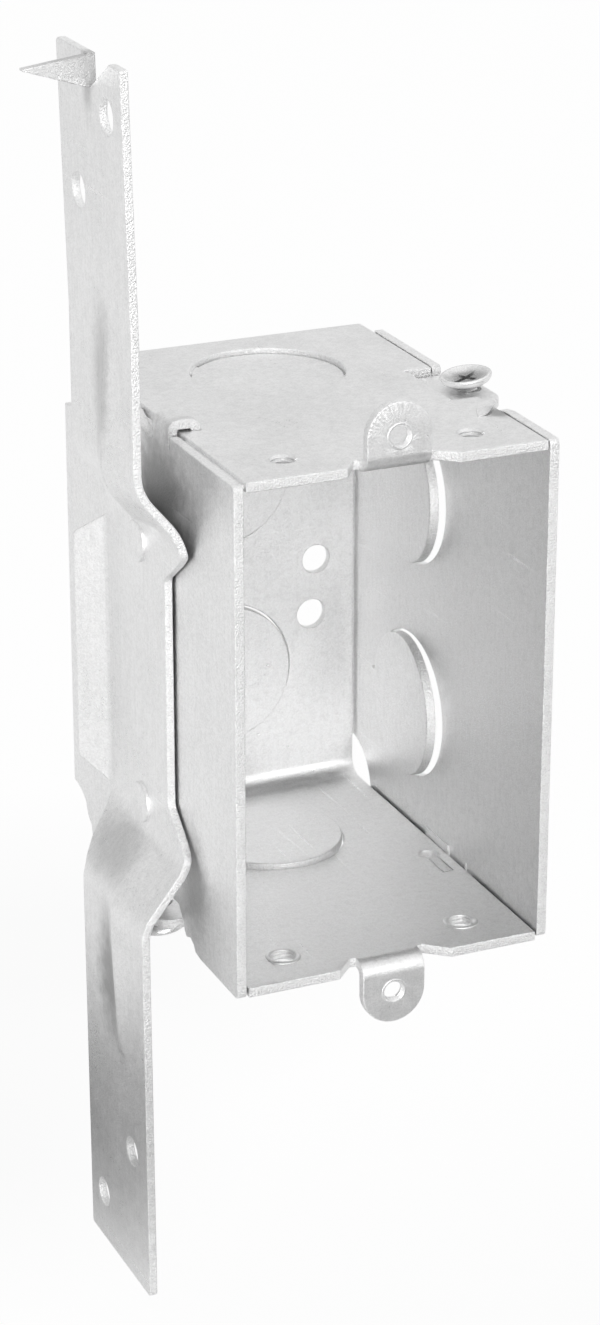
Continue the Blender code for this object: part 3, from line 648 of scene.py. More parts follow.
def copies_tree():
    """Copies of an object on the points of a mesh, each turned as the point's "turn" says."""
    tree, group, out = modifier_tree("Place Copies", [("Copy", "Object"), ("Size", "Float", 1)])
    kind = "GeometryNodeInputNamedAttribute"
    turn = add_node(tree, kind, {"Name": "turn"}, data_type="FLOAT_VECTOR")
    rotation = add_node(tree, "FunctionNodeEulerToRotation", {0: turn.outputs[0]})
    inputs = {
        "Points": group["Geometry"],
        "Instance": object_geometry(tree, group["Copy"]),
        "Rotation": rotation.outputs[0],
        "Scale": group["Size"],
    }
    placed = add_node(tree, "GeometryNodeInstanceOnPoints", inputs)
    return finish_tree(tree, group, out, placed.outputs[0])


def thread_tree():
    """A screw thread: a ridge wound round the Z axis."""
    inputs = [(label, "Float") for label in ("Radius", "Ridge", "Turns", "Length")]
    tree, group, out = modifier_tree("Wind Thread", inputs)
    inputs = {
        "Resolution": SMALL_CIRCLE_STEPS,
        "Rotations": group["Turns"],
        "Start Radius": group["Radius"],
        "End Radius": group["Radius"],
        "Height": group["Length"],
    }
    helix = add_node(tree, "GeometryNodeCurveSpiral", inputs)
    upright = add_node(tree, "GeometryNodeSetCurveNormal", {"Curve": helix.outputs[0]}, mode="Z_UP")
    inputs = {"Resolution": 4, "Radius": group["Ridge"]}
    ridge = add_node(tree, "GeometryNodeCurvePrimitiveCircle", inputs, mode="RADIUS")
    inputs = {"Curve": upright.outputs[0], "Profile Curve": ridge.outputs[0], "Fill Caps": True}
    swept = add_node(tree, "GeometryNodeCurveToMesh", inputs)
    return finish_tree(tree, group, out, swept.outputs[0])


def node_tree(name, build):
    """The tree of that name, built the first time it is asked for."""
    return bpy.data.node_groups.get(name) or build()


# Objects


def scene_object(name, data):
    """A new object in the scene's collection."""
    obj = bpy.data.objects.new(name, data)
    bpy.context.scene.collection.objects.link(obj)
    return obj


def path_object(name, points):
    """A helper curve through 3-D points."""
    curve = bpy.data.curves.new(name, "CURVE")
    curve.dimensions = "3D"
    spline = curve.splines.new("POLY")
    spline.points.add(len(points) - 1)
    for place, point in zip(spline.points, points):
        place.co = (*point, 1)
    return scene_object(name, curve)


def place_points(name, frames):
    """A helper mesh of points, each with its turn, at the given frames."""
    mesh = bpy.data.meshes.new(name)
    mesh.from_pydata([matrix.translation for matrix in frames], [], [])
    turn = mesh.attributes.new("turn", "FLOAT_VECTOR", "POINT")
    for entry, matrix in zip(turn.data, frames):
        entry.vector = tuple(matrix.to_euler())
    return scene_object(name, mesh)


def apply_modifiers(obj, helpers=()):
    """Turns what the modifiers make into the object's own plain mesh."""
    graph = bpy.context.evaluated_depsgraph_get()
    mesh = bpy.data.meshes.new_from_object(obj.evaluated_get(graph))
    mesh.name = obj.name
    obj.modifiers.clear()
    obj.data = mesh
    for helper in helpers:
        bpy.data.objects.remove(helper)


def run_tree(obj, name, build, values, helpers=()):
    """Runs a tree as an object's modifier, its inputs set by the identifiers of their sockets."""
    modifier = obj.modifiers.new(name, "NODES")
    modifier.node_group = node_tree(name, build)
    for item in modifier.node_group.interface.items_tree:
        if item.item_type == "SOCKET" and item.in_out == "INPUT" and item.name in values:
            modifier[item.identifier] = values[item.name]
    apply_modifiers(obj, helpers)


def smooth_shading(obj):
    """Smooth faces with sharp corners, the large faces deciding the shading at their edges."""
    obj.data.shade_smooth()
    obj.data.set_sharp_from_angle(angle=SMOOTH_UP_TO)
    weighted = obj.modifiers.new("weighted", "WEIGHTED_NORMAL")
    weighted.keep_sharp = True
    weighted.weight = FACE_WEIGHT
    apply_modifiers(obj)


def finish_piece(obj, node=None):
    """Puts a finished piece on the box's one body."""
    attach(obj, "root")
    if node:
        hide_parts(node)


def folded_sheet(name, mesh, path, values, material):
    """A flat sheet folded along a path of 3-D points."""
    obj = scene_object(name, mesh)
    helpers = [path_object(name + "_path", path)]
    values = {**values, "Path": helpers[0], "Material": material}
    if "Tab Path" in values:
        helpers.append(path_object(name + "_tab_path", values["Tab Path"]))
        values["Tab Path"] = helpers[1]
    run_tree(obj, "Fold Sheet", fold_tree, values, helpers)
    return obj


def copies(name, mesh, frames, material, size=1.0):
    """Copies of a mesh at the given frames, as one object."""
    source = scene_object(name + "_copy", mesh)
    obj = place_points(name, frames)
    values = {"Copy": source, "Size": size, "Material": material}
    run_tree(obj, "Place Copies", copies_tree, values, [source])
    smooth_shading(obj)
    return obj


def thread_mesh(name, radius, ridge, turns, length, material):
    """A thread's plain mesh, rising from Z 0."""
    obj = scene_object(name, bpy.data.meshes.new(name))
    values = {"Radius": radius, "Ridge": ridge, "Turns": turns, "Length": length}
    run_tree(obj, "Wind Thread", thread_tree, {**values, "Material": material})
    mesh = obj.data
    bpy.data.objects.remove(obj)
    return mesh


def frame_at(point, outward, towards=None):
    """A frame at a point: Z outward, and X as near as it can be to a direction."""
    z = Vector(outward).normalized()
    x = Vector(towards) if towards else z.orthogonal()
    x = (x - z * x.dot(z)).normalized()
    y = z.cross(x)
    turn = Matrix((x, y, z)).transposed().to_4x4()
    return Matrix.Translation(point) @ turn


def lathe(name, profile, steps):
    """A closed turned solid from (radius, height) pairs whose first and last radii are 0."""
    solid = bmesh.new()
    rows = []
    for radius, height in profile:
        if radius == 0:
            rows.append([solid.verts.new((0, 0, height))])
        else:
            rows.append([solid.verts.new((x, y, height)) for x, y in ring((0, 0), radius, steps)])
    for lower, upper in zip(rows, rows[1:]):
        for i in range(steps):
            j = (i + 1) % steps
            corners = [lower[i % len(lower)], lower[j % len(lower)]]
            corners += [upper[j % len(upper)], upper[i % len(upper)]]
            solid.faces.new(dict.fromkeys(corners))
    bmesh.ops.recalc_face_normals(solid, faces=solid.faces)
    return finished_mesh(name, solid)


# Finishes

# Values between which most of a noise pattern lies
NOISE_SPAN = (0.3, 0.7)

# How much the marks of a coat change its tone, its roughness and its height in grain depths
SCRATCH_TONE = 0.05
CUT_TONE = 0.03
CUT_LINES_TONE = 0.05
GRAIN_ROUGHNESS = 0.04
CLOUD_ROUGHNESS = 0.035
SCRATCH_ROUGHNESS = -0.10
CUT_ROUGHNESS = 0.08
CUT_LINES_DEPTHS = 3
SCRATCH_DEPTHS = 2
SCRATCH_TURNS = ((0.3, 0.2, 0.5), (1.1, 0.7, -0.4), (-0.6, 1.3, 0.9))

# Painted shade deep in the seams: its tone, and how much the grain changes it
SEAM_SHADE_TONE = 0.035
SEAM_SHADE_GRAIN = 0.012

# Patches of painted shade on a coat, standing in for shadows and dark reflections: centre, half size,
# amount, and the Y where one ends sharply in front
NO_FRONT_END = -1.0
PAINTED_SHADE_SOFT_END = 0.0009
PAINTED_SHADE_PATCHES = {
    "box_zinc": (((0.0219, -0.0513, 0.0381), (0.0026, 0.0030, 0.0010), 0.55, NO_FRONT_END),),
    "strap_zinc": (
        ((-0.0335, -0.0370, -0.0455), (0.0040, 0.0068, 0.0130), 0.52, -0.0408),
        ((-0.0335, -0.0393, 0.0465), (0.0040, 0.0048, 0.0140), 0.30, -0.0432),
        ((-0.0290, -0.0320, -0.0280), (0.0080, 0.0120, 0.0056), 0.27, -0.0410),
        ((-0.0330, -0.0380, -0.0680), (0.0100, 0.0400, 0.0260), 0.22, NO_FRONT_END),
        ((-0.0335, -0.0378, 0.0890), (0.0120, 0.0024, 0.0080), 0.34, NO_FRONT_END),
    ),
    "screw_zinc": (
        ((0.0243, -0.0360, 0.0387), (0.0037, 0.0037, 0.0022), 0.60, NO_FRONT_END),
        ((-0.0243, -0.0360, -0.0387), (0.0037, 0.0037, 0.0022), 0.60, NO_FRONT_END),
    ),
    "plate_zinc": (
        ((-0.0215, -0.0412, 0.0395), (0.0040, 0.0016, 0.0024), 0.16, NO_FRONT_END),
        ((-0.0243, -0.0385, 0.0285), (0.0020, 0.0140, 0.0120), 0.60, NO_FRONT_END),
        ((-0.0243, -0.0495, -0.0270), (0.0020, 0.0060, 0.0110), 0.35, NO_FRONT_END),
    ),
}

# Finish of each slot: amounts of grain and mottle, roughness and amount of streak
FINISHES = {
    "box_zinc": (0.080, 0.022, 0.36, 0.20),
    "plate_zinc": (0.085, 0.026, 0.37, 0.22),
    "strap_zinc": (0.080, 0.028, 0.33, 0.30),
    "screw_zinc": (0.060, 0.020, 0.22, 0.10),
}


def shader_group(name, inputs, outputs):
    """A shader group, its inner sockets and the place on the piece that its pattern follows."""
    tree, group, out = new_tree(name, "ShaderNodeTree", inputs, outputs)
    return tree, group, out, add_node(tree, "ShaderNodeTexCoord").outputs["Object"]


def group_outputs(tree, name, build, inputs=None):
    """The outputs of a shader group that is placed in a material."""
    return add_node(tree, "ShaderNodeGroup", inputs, node_tree=node_tree(name, build)).outputs


def weighted_sum(tree, total, *terms):
    """A total with each value added to it after it is multiplied by its factor."""
    for value, factor in terms:
        total = math_node(tree, "MULTIPLY_ADD", value, factor, total)
    return total


def noise(tree, vector, scale, detail, roughness):
    """A noise pattern's value at a place."""
    inputs = {"Vector": vector, "Scale": scale, "Detail": detail, "Roughness": roughness}
    return add_node(tree, "ShaderNodeTexNoise", inputs).outputs[0]


def remap(tree, value, low, high, to_low=0.0, to_high=1.0, how="LINEAR"):
    """A value carried from one range into another and held inside it."""
    inputs = {"Value": value, "From Min": low, "From Max": high, "To Min": to_low, "To Max": to_high}
    return add_node(tree, "ShaderNodeMapRange", inputs, interpolation_type=how).outputs[0]


def grain_group():
    """The fine even grain of a zinc coat, as a tone and a height."""
    inputs = [("Scale", "Float", 2600.0), ("Streak", "Float", 0.5)]
    outputs = [("Tone", "Float"), ("Height", "Float")]
    tree, group, out, place = shader_group("Zinc Grain", inputs, outputs)
    fine = noise(tree, place, group["Scale"], 4.0, 0.65)
    coarse = noise(tree, place, math_node(tree, "MULTIPLY", group["Scale"], 0.31), 2.0, 0.5)
    drawn = add_node(tree, "ShaderNodeMapping", {"Vector": place, "Scale": (1.0, 1.0, 0.06)})
    streak_scale = math_node(tree, "MULTIPLY", group["Scale"], 0.45)
    streaks = noise(tree, drawn.outputs[0], streak_scale, 2.0, 0.5)
    streaks = remap(tree, streaks, *NOISE_SPAN, -1.0, 1.0)
    streaks = math_node(tree, "MULTIPLY", streaks, group["Streak"])
    speckle = remap(tree, fine, 0.32, 0.68, -1.0, 1.0)
    patches = remap(tree, coarse, *NOISE_SPAN, -0.5, 0.5)
    total = math_node(tree, "ADD", math_node(tree, "ADD", speckle, patches), streaks)
    tree.links.new(total, out["Tone"])
    tree.links.new(math_node(tree, "ADD", speckle, streaks), out["Height"])
    return tree


def mottle_group():
    """The soft cloudy tone of a zinc coat with faint crystals in it."""
    inputs = [("Scale", "Float", 60.0), ("Crystal", "Float", 0.4)]
    tree, group, out, place = shader_group("Zinc Mottle", inputs, [("Tone", "Float")])
    clouds = remap(tree, noise(tree, place, group["Scale"], 4.0, 0.55), *NOISE_SPAN, -1.0, 1.0)
    bend = noise(tree, place, math_node(tree, "MULTIPLY", group["Scale"], 3.0), 2.0, 0.5)
    bend = add_node(tree, "ShaderNodeCombineXYZ", {0: bend, 1: bend, 2: bend}).outputs[0]
    bent = vector_node(tree, "ADD", place, scaled(tree, bend, 0.004))
    inputs = {"Vector": bent, "Scale": math_node(tree, "MULTIPLY", group["Scale"], 6.0)}
    cells = add_node(tree, "ShaderNodeTexVoronoi", inputs, feature="F1")
    grey = add_node(tree, "ShaderNodeRGBToBW", {0: cells.outputs["Color"]}).outputs[0]
    crystal = math_node(tree, "MULTIPLY", remap(tree, grey, 0.2, 0.8, -1.0, 1.0), group["Crystal"])
    tree.links.new(math_node(tree, "ADD", clouds, crystal), out["Tone"])
    return tree


def scuff_group():
    """Short handling scratches that run several ways, as a mask."""
    inputs = [("Scale", "Float", 90.0), ("Sparseness", "Float", 0.72)]
    tree, group, out, place = shader_group("Handling Scratches", inputs, [("Mask", "Float")])
    scale = math_node(tree, "MULTIPLY", group["Scale"], 14.0)
    total = 0.0
    for turn in SCRATCH_TURNS:
        inputs = {"Vector": place, "Rotation": turn, "Scale": (1.0, 0.035, 1.0)}
        stretched = add_node(tree, "ShaderNodeMapping", inputs)
        line = noise(tree, stretched.outputs[0], scale, 1.0, 0.4)
        total = math_node(tree, "MAXIMUM", total, remap(tree, line, group["Sparseness"], 0.86))
    tree.links.new(total, out["Mask"])
    return tree


def sheared_group():
    """Where a sheet was cut: a mask and the fine lines the shear left."""
    outputs = [("Mask", "Float"), ("Lines", "Float")]
    tree, group, out, place = shader_group("Sheared Edge", [("Amount", "Float", 1.0)], outputs)
    mark = add_node(tree, "ShaderNodeAttribute", attribute_name="sheared")
    lines = remap(tree, noise(tree, place, 3800.0, 2.0, 0.6), 0.35, 0.65, -1.0, 1.0)
    mask = math_node(tree, "MULTIPLY", mark.outputs["Fac"], group["Amount"])
    tree.links.new(mask, out["Mask"])
    tree.links.new(math_node(tree, "MULTIPLY", lines, mask), out["Lines"])
    return tree


def painted_shade_group():
    """A soft-edged patch of painted shade on the coat: an ellipsoid that may end sharply towards the
    front.
    """
    inputs = [
        ("Centre", "Vector", (0, 0, 0)),
        ("Half Size", "Vector", (0.01, 0.01, 0.01)),
        ("Amount", "Float", 0.3),
        ("Front End", "Float", NO_FRONT_END),
    ]
    tree, group, out, place = shader_group("Dull Patch", inputs, [("Mask", "Float")])
    away = vector_node(tree, "SUBTRACT", place, group["Centre"])
    away = vector_node(tree, "DIVIDE", away, group["Half Size"])
    away = add_node(tree, "ShaderNodeVectorMath", {0: away}, operation="LENGTH").outputs["Value"]
    uneven = remap(tree, noise(tree, place, 500.0, 3.0, 0.6), *NOISE_SPAN, -0.10, 0.10)
    away = math_node(tree, "ADD", away, uneven)
    soft = remap(tree, away, 0.25, 1.1, 1.0, 0.0, how="SMOOTHSTEP")
    y = add_node(tree, "ShaderNodeSeparateXYZ", {0: place}).outputs[1]
    end = math_node(tree, "ADD", group["Front End"], PAINTED_SHADE_SOFT_END)
    kept = remap(tree, y, group["Front End"], end)
    mask = math_node(tree, "MULTIPLY", math_node(tree, "MULTIPLY", soft, kept), group["Amount"])
    tree.links.new(mask, out["Mask"])
    return tree


def zinc_material(name, finish, grain, mottle, roughness, streak, patches=()):
    """A zinc-coated steel finish with its own amounts of grain, mottle and streak, darkened by its
    patches of painted shade.
    """
    material = bpy.data.materials.new(name)
    material.use_nodes = True
    tree = material.node_tree
    shader = tree.nodes["Principled BSDF"]
    shader.inputs["Metallic"].default_value = 1.0
    inputs = {"Scale": finish.grain_scale, "Streak": streak}
    grains = group_outputs(tree, "Zinc Grain", grain_group, inputs)
    clouds = group_outputs(tree, "Zinc Mottle", mottle_group, {"Scale": finish.mottle_scale})
    scratches = group_outputs(tree, "Handling Scratches", scuff_group)
    cut = group_outputs(tree, "Sheared Edge", sheared_group)
    shade = weighted_sum(
        tree,
        1.0,
        (grains["Tone"], grain),
        (clouds["Tone"], mottle),
        (scratches["Mask"], SCRATCH_TONE),
        (cut["Mask"], CUT_TONE),
        (cut["Lines"], CUT_LINES_TONE),
    )
    # Each patch darkens the coat's colour with painted shade.
    for centre, half_size, amount, front_end in patches:
        inputs = {"Centre": centre, "Half Size": half_size, "Amount": amount, "Front End": front_end}
        painted_shade = group_outputs(tree, "Dull Patch", painted_shade_group, inputs)
        kept = math_node(tree, "SUBTRACT", 1.0, painted_shade["Mask"])
        shade = math_node(tree, "MULTIPLY", shade, kept)
    tree.links.new(scaled(tree, tuple(finish.zinc), shade), shader.inputs["Base Color"])
    rough = weighted_sum(
        tree,
        roughness,
        (grains["Tone"], GRAIN_ROUGHNESS),
        (clouds["Tone"], CLOUD_ROUGHNESS),
        (scratches["Mask"], SCRATCH_ROUGHNESS),
        (cut["Mask"], CUT_ROUGHNESS),
    )
    tree.links.new(rough, shader.inputs["Roughness"])
    depth = finish.grain_depth
    height = weighted_sum(
        tree,
        0.0,
        (grains["Height"], depth),
        (cut["Lines"], depth * CUT_LINES_DEPTHS),
        (scratches["Mask"], -depth * SCRATCH_DEPTHS),
    )
    bump = add_node(tree, "ShaderNodeBump", {"Height": height, "Strength": 1.0, "Distance": 1.0})
    tree.links.new(bump.outputs[0], shader.inputs["Normal"])
    return material


def painted_shade_material(name):
    """A dark matte finish of painted shade for the seams, with an uneven grain."""
    material = bpy.data.materials.new(name)
    material.use_nodes = True
    tree = material.node_tree
    shader = tree.nodes["Principled BSDF"]
    shader.inputs["Roughness"].default_value = 0.9
    shader.inputs["Specular IOR Level"].default_value = 0.1
    grains = group_outputs(tree, "Zinc Grain", grain_group)
    tone = math_node(tree, "MULTIPLY_ADD", grains["Tone"], SEAM_SHADE_GRAIN, SEAM_SHADE_TONE)
    tone = add_node(tree, "ShaderNodeCombineXYZ", {0: tone, 1: tone, 2: tone})
    tree.links.new(tone.outputs[0], shader.inputs["Base Color"])
    return material


def finish_of(slot):
    """The material of a slot, made the first time it is asked for."""
    found = bpy.data.materials.get(slot + "_finish")
    if found:
        return found
    settings = bpy.context.scene.switch_box_finish
    # The slot's patches of painted shade darken its finish.
    return zinc_material(slot + "_finish", settings, *FINISHES[slot], PAINTED_SHADE_PATCHES.get(slot, ()))


# Body


def body_lines():
    """The bent lines of the body's outer face, in Y and Z: through the ears and beside them."""
    front = from_front(0)
    sheet = bpy.context.scene.switch_box_sheet
    ear_rear = from_front(sheet.thickness)
    through = BentLine(
        [
            (ear_rear, -EAR_TIP_HEIGHT),
            (ear_rear, -HALF_HEIGHT),
            (0, -HALF_HEIGHT),
            (0, HALF_HEIGHT),
            (ear_rear, HALF_HEIGHT),
            (ear_rear, EAR_TIP_HEIGHT),
        ],
        [EAR_BEND, REAR_BEND, REAR_BEND, EAR_BEND],
    )
    beside = BentLine(
        [(front, -HALF_HEIGHT), (0, -HALF_HEIGHT), (0, HALF_HEIGHT), (front, HALF_HEIGHT)],
        [REAR_BEND, REAR_BEND],
    )
    return through, beside


def body_end(ear_line, edge, notch_widths):
    """Half of the body's outline, from its right side over one ear to its left side.

    notch_widths are those right and left of the ear as this end is seen with its ear up.
    """
    floor = edge - EAR_NOTCH_DEPTH
    centre = ear_line.at_height(EAR_HOLE_HEIGHT)
    tip = ring((0, centre), EAR_HALF_WIDTH, CIRCLE_STEPS // 2, 0, math.pi)
    right, left = (EAR_HALF_WIDTH + width for width in notch_widths)
    foot = EAR_HALF_WIDTH + EAR_NOTCH_FLOOR
    rear = edge - TONGUE_REAR
    front = edge - TONGUE_FRONT
    root = TONGUE_SINK_START
    corners = [
        (BODY_HALF_WIDTH, rear - TONGUE_SLIT, 0),
        (root, rear - TONGUE_SLIT, 0),
        (root, rear, 0),
        (TONGUE_REACH, rear, TONGUE_CORNER),
        (TONGUE_REACH, front, TONGUE_CORNER),
        (root, front, 0),
        (root, front + TONGUE_SLIT, 0),
        (BODY_HALF_WIDTH, front + TONGUE_SLIT, 0),
        (BODY_HALF_WIDTH, edge, 0),
        (right, edge, EAR_NOTCH_ROUND),
        (foot, floor, EAR_NOTCH_ROUND),
        (EAR_HALF_WIDTH, floor, 0),
        *((u, v, 0) for u, v in tip),
        (-EAR_HALF_WIDTH, floor, 0),
        (-foot, floor, EAR_NOTCH_ROUND),
        (-left, edge, EAR_NOTCH_ROUND),
        (-BODY_HALF_WIDTH, edge, 0),
    ]
    return rounded_outline(corners)


def hook_slot(edge):
    """The slot left of the middle of the end with its ear up, rounded towards the rear."""
    outer = -BODY_HALF_WIDTH + HOOK_SLOT_WEB
    inner = -HOOK_SLOT_INNER
    leg_inner = -(HALF_WIDTH - HOOK_RUN - HOOK_CLEARANCE)
    leg_outer = leg_inner - bpy.context.scene.switch_box_sheet.thickness - 2 * HOOK_CLEARANCE
    front = edge - HOOK_FRONT + HOOK_CLEARANCE
    shoulder = edge - HOOK_REAR - HOOK_CLEARANCE
    reach = shoulder - (edge - HOOK_SLOT_REAR)
    middle = (outer + inner) / 2
    half = (inner - outer) / 2
    leaf = []
    for i in range(1, 2 * CORNER_STEPS):
        angle = math.pi * i / (2 * CORNER_STEPS)
        leaf.append((middle - half * math.cos(angle), shoulder - reach * math.sin(angle)))
    outer_side = [(leg_outer, front), (leg_outer, shoulder)]
    return [*outer_side, *leaf, (leg_inner, shoulder), (leg_inner, front)]


def tongue_press(edge):
    """How far a place of the body is pressed out of its plane: inward on the tongues."""

    def press(u, v):
        if v < 0:
            u, v = -u, -v
        if not TONGUE_FRONT - TOLERANCE <= edge - v <= TONGUE_REAR + TOLERANCE:
            return 0.0
        part = (u - TONGUE_SINK_START) / (TONGUE_SINK_END - TONGUE_SINK_START)
        return -TONGUE_SINK * ease(part)

    return press


def knockout_disc(name, sheet):
    """A knockout disc with a short tie that reaches under its hole's edge."""
    half = KNOCKOUT_TIE_HALF_WIDTH
    reach = KNOCKOUT_RADIUS + KNOCKOUT_SLIT + KNOCKOUT_TIE_REACH
    start = math.asin(half / KNOCKOUT_RADIUS)
    outline = ring((0, 0), KNOCKOUT_RADIUS, CIRCLE_STEPS, start, 2 * math.pi - 2 * start)
    outline += [(reach, -half), (reach, half)]
    return flat_sheet(name, outline, [], sheet.thickness, sheet.edge_round)


def knockout_frame(centre, outward, tie, tilt=0.0):
    """Where a knockout disc's outer face lies: pressed inward and tilted about its tie."""
    outward = Vector(outward)
    place = frame_at(Vector(centre) - outward * KNOCKOUT_PUSH, outward, tie)
    hinge = Matrix.Translation((KNOCKOUT_RADIUS, 0, 0))
    return place @ hinge @ Matrix.Rotation(-tilt, 4, "Y") @ hinge.inverted()


def collar_mesh(name, inner, outer, rise):
    """A low rounded collar round a hole, standing on Z 0."""
    solid = bmesh.new()
    profile = []
    middle = (inner + outer) / 2
    half = (outer - inner) / 2
    for i in range(CORNER_STEPS + 1):
        angle = math.pi * i / CORNER_STEPS
        profile.append((middle - half * math.cos(angle), rise * math.sin(angle)))
    profile += [(outer, -rise), (inner, -rise)]
    rows = [
        [solid.verts.new((radius * math.cos(a), radius * math.sin(a), z)) for radius, z in profile]
        for a in (2 * math.pi * i / SMALL_CIRCLE_STEPS for i in range(SMALL_CIRCLE_STEPS))
    ]
    for i, row in enumerate(rows):
        following = rows[(i + 1) % len(rows)]
        for j in range(len(profile)):
            k = (j + 1) % len(profile)
            solid.faces.new((row[j], following[j], following[k], row[k]))
    bmesh.ops.recalc_face_normals(solid, faces=solid.faces)
    return finished_mesh(name, solid)


def body_holes(ear_line, edge):
    """Every hole of the body's blank, whose two walls end this far from its middle."""
    tapped = edge - TAPPED_HOLE_FROM_FRONT
    knockout = edge - WALL_KNOCKOUT_FROM_FRONT
    ear_hole = ear_line.at_height(EAR_HOLE_HEIGHT)
    screw = (SCREW_FROM_MIDDLE, edge - SCREW_FROM_FRONT)
    screw_hole = ring(screw, SCREW_HOLE_RADIUS, SMALL_CIRCLE_STEPS)
    gap = KNOCKOUT_RADIUS + KNOCKOUT_SLIT
    holes = [hook_slot(edge), turned(hook_slot(edge)), screw_hole, turned(screw_hole)]
    for v in (knockout, -knockout, BACK_KNOCKOUT_RISE, -BACK_KNOCKOUT_RISE):
        holes.append(ring((0, v), gap, CIRCLE_STEPS))
    for side in (-1, 1):
        holes.append(ring((0, side * ear_hole), EAR_HOLE_RADIUS, SMALL_CIRCLE_STEPS))
        for end in (-1, 1):
            centre = (side * TAPPED_HOLE_SPREAD, end * tapped)
            holes.append(ring(centre, TAPPED_HOLE_RADIUS, SMALL_CIRCLE_STEPS))
    for x, height, radius in BACK_HOLES:
        holes.append(ring((x, height), radius, SMALL_CIRCLE_STEPS))
    return holes


def make_body(sheet):
    """The folded body, its knockout discs, and what lies in its holes and seams."""
    through, beside = body_lines()
    edge = beside.marks[-1]
    outline = body_end(through, edge, EAR_NOTCHES_TOP)
    outline += turned(body_end(through, edge, EAR_NOTCHES_BOTTOM))
    width = TONGUE_SINK_END - TONGUE_SINK_START
    across = [TONGUE_SINK_START + width * i / TONGUE_STEPS for i in range(TONGUE_STEPS + 1)]
    across += [-u for u in across]
    along = [*through.marks[1:-1], *beside.marks[1:-1]]
    name = "box_body_sheet"
    holes = body_holes(through, edge)
    sizes = (sheet.thickness, sheet.edge_round)
    mesh = flat_sheet(name, outline, holes, *sizes, across, along, tongue_press(edge))
    zinc = finish_of("box_zinc")
    values = {
        "Start": beside.marks[0],
        "Tab Path": [(0, point.x, point.y) for point in through.points],
        "Tab Start": through.marks[0],
        "Tab Centre": 0.0,
        "Tab Half Width": EAR_HALF_WIDTH + TOLERANCE,
        "Side": (1, 0, 0),
    }
    path = [(0, point.x, point.y) for point in beside.points]
    body = folded_sheet(name, mesh, path, values, zinc)
    smooth_shading(body)
    finish_piece(body, "box_body")
    make_body_discs(sheet, zinc)
    make_hole_details(sheet.thickness, zinc)
    make_flake(zinc)
    make_seams(sheet.thickness)


def make_body_discs(sheet, zinc):
    """The knockout discs of the top wall, the bottom wall and the back wall."""
    wall_y = from_front(WALL_KNOCKOUT_FROM_FRONT)
    tie = (math.cos(WALL_KNOCKOUT_TIE), math.sin(WALL_KNOCKOUT_TIE), 0)
    frames = []
    for end in (1, -1):
        frames.append(knockout_frame((0, wall_y, end * HALF_HEIGHT), (0, 0, end), tie))
    for end in (1, -1):
        frames.append(knockout_frame((0, 0, end * BACK_KNOCKOUT_RISE), (0, 1, 0), (-1, 0, 0)))
    discs = copies("box_body_discs", knockout_disc("body_disc", sheet), frames, zinc)
    finish_piece(discs)


def make_hole_details(thickness, zinc):
    """The low collars round the tapped holes and the ear holes, and the threads in them."""
    tapped_y = from_front(TAPPED_HOLE_FROM_FRONT)
    collars = []
    threads = []
    ear_frames = []
    for end in (-1, 1):
        for side in (-1, 1):
            spot = Vector((side * TAPPED_HOLE_SPREAD, tapped_y, end * (HALF_HEIGHT - thickness)))
            collars.append(frame_at(spot, (0, 0, -end)))
            threads.append(frame_at(spot, (0, 0, end)))
        ear_frames.append(frame_at(Vector((0, from_front(0), end * EAR_HOLE_HEIGHT)), (0, -1, 0)))
    for name, collar, frames in (
        ("box_body_collars", TAPPED_COLLAR, collars),
        ("ear_collars", EAR_COLLAR, ear_frames),
    ):
        rims = copies(name, collar_mesh(name + "_ring", *collar), frames, zinc)
        finish_piece(rims)
    sizes = (TAPPED_HOLE_RADIUS, TAPPED_THREAD_RIDGE, TAPPED_THREAD_TURNS)
    thread = thread_mesh("tapped_thread", *sizes, thickness * TAPPED_THREAD_SHARE, zinc)
    finish_piece(copies("box_body_threads", thread, threads, zinc))
    down = Matrix.Rotation(math.pi, 4, "X")
    ear_threads = [frame @ down for frame in ear_frames]
    ear_size = EAR_HOLE_RADIUS / TAPPED_HOLE_RADIUS
    finish_piece(copies("ear_threads", thread, ear_threads, zinc, ear_size))


def make_flake(zinc):
    """The torn flake left on the top wall beside the right plate's notch, its outer side raised."""
    outline = [(x, from_front(distance)) for x, distance in FLAKE]
    mesh = flat_sheet("torn_flake", outline, [], FLAKE_SHEET, FLAKE_SHEET / 4)
    x, y = outline[0]
    hinge = Matrix.Translation((x, y, HALF_HEIGHT + FLAKE_SHEET / 2))
    rest = Matrix.Translation((-x, -y, 0))
    mesh.transform(hinge @ Matrix.Rotation(-FLAKE_LEAN, 4, "Y") @ rest)
    mesh.materials.append(zinc)
    flake = scene_object("torn_flake", mesh)
    smooth_shading(flake)
    finish_piece(flake)


def box_between(solid, low, high):
    """Adds an upright box with two given corners to a mesh being built."""
    size = Vector(high) - Vector(low)
    middle = (Vector(high) + Vector(low)) / 2
    matrix = Matrix.Translation(middle) @ Matrix.Diagonal((*size, 1))
    bmesh.ops.create_cube(solid, size=1, matrix=matrix)


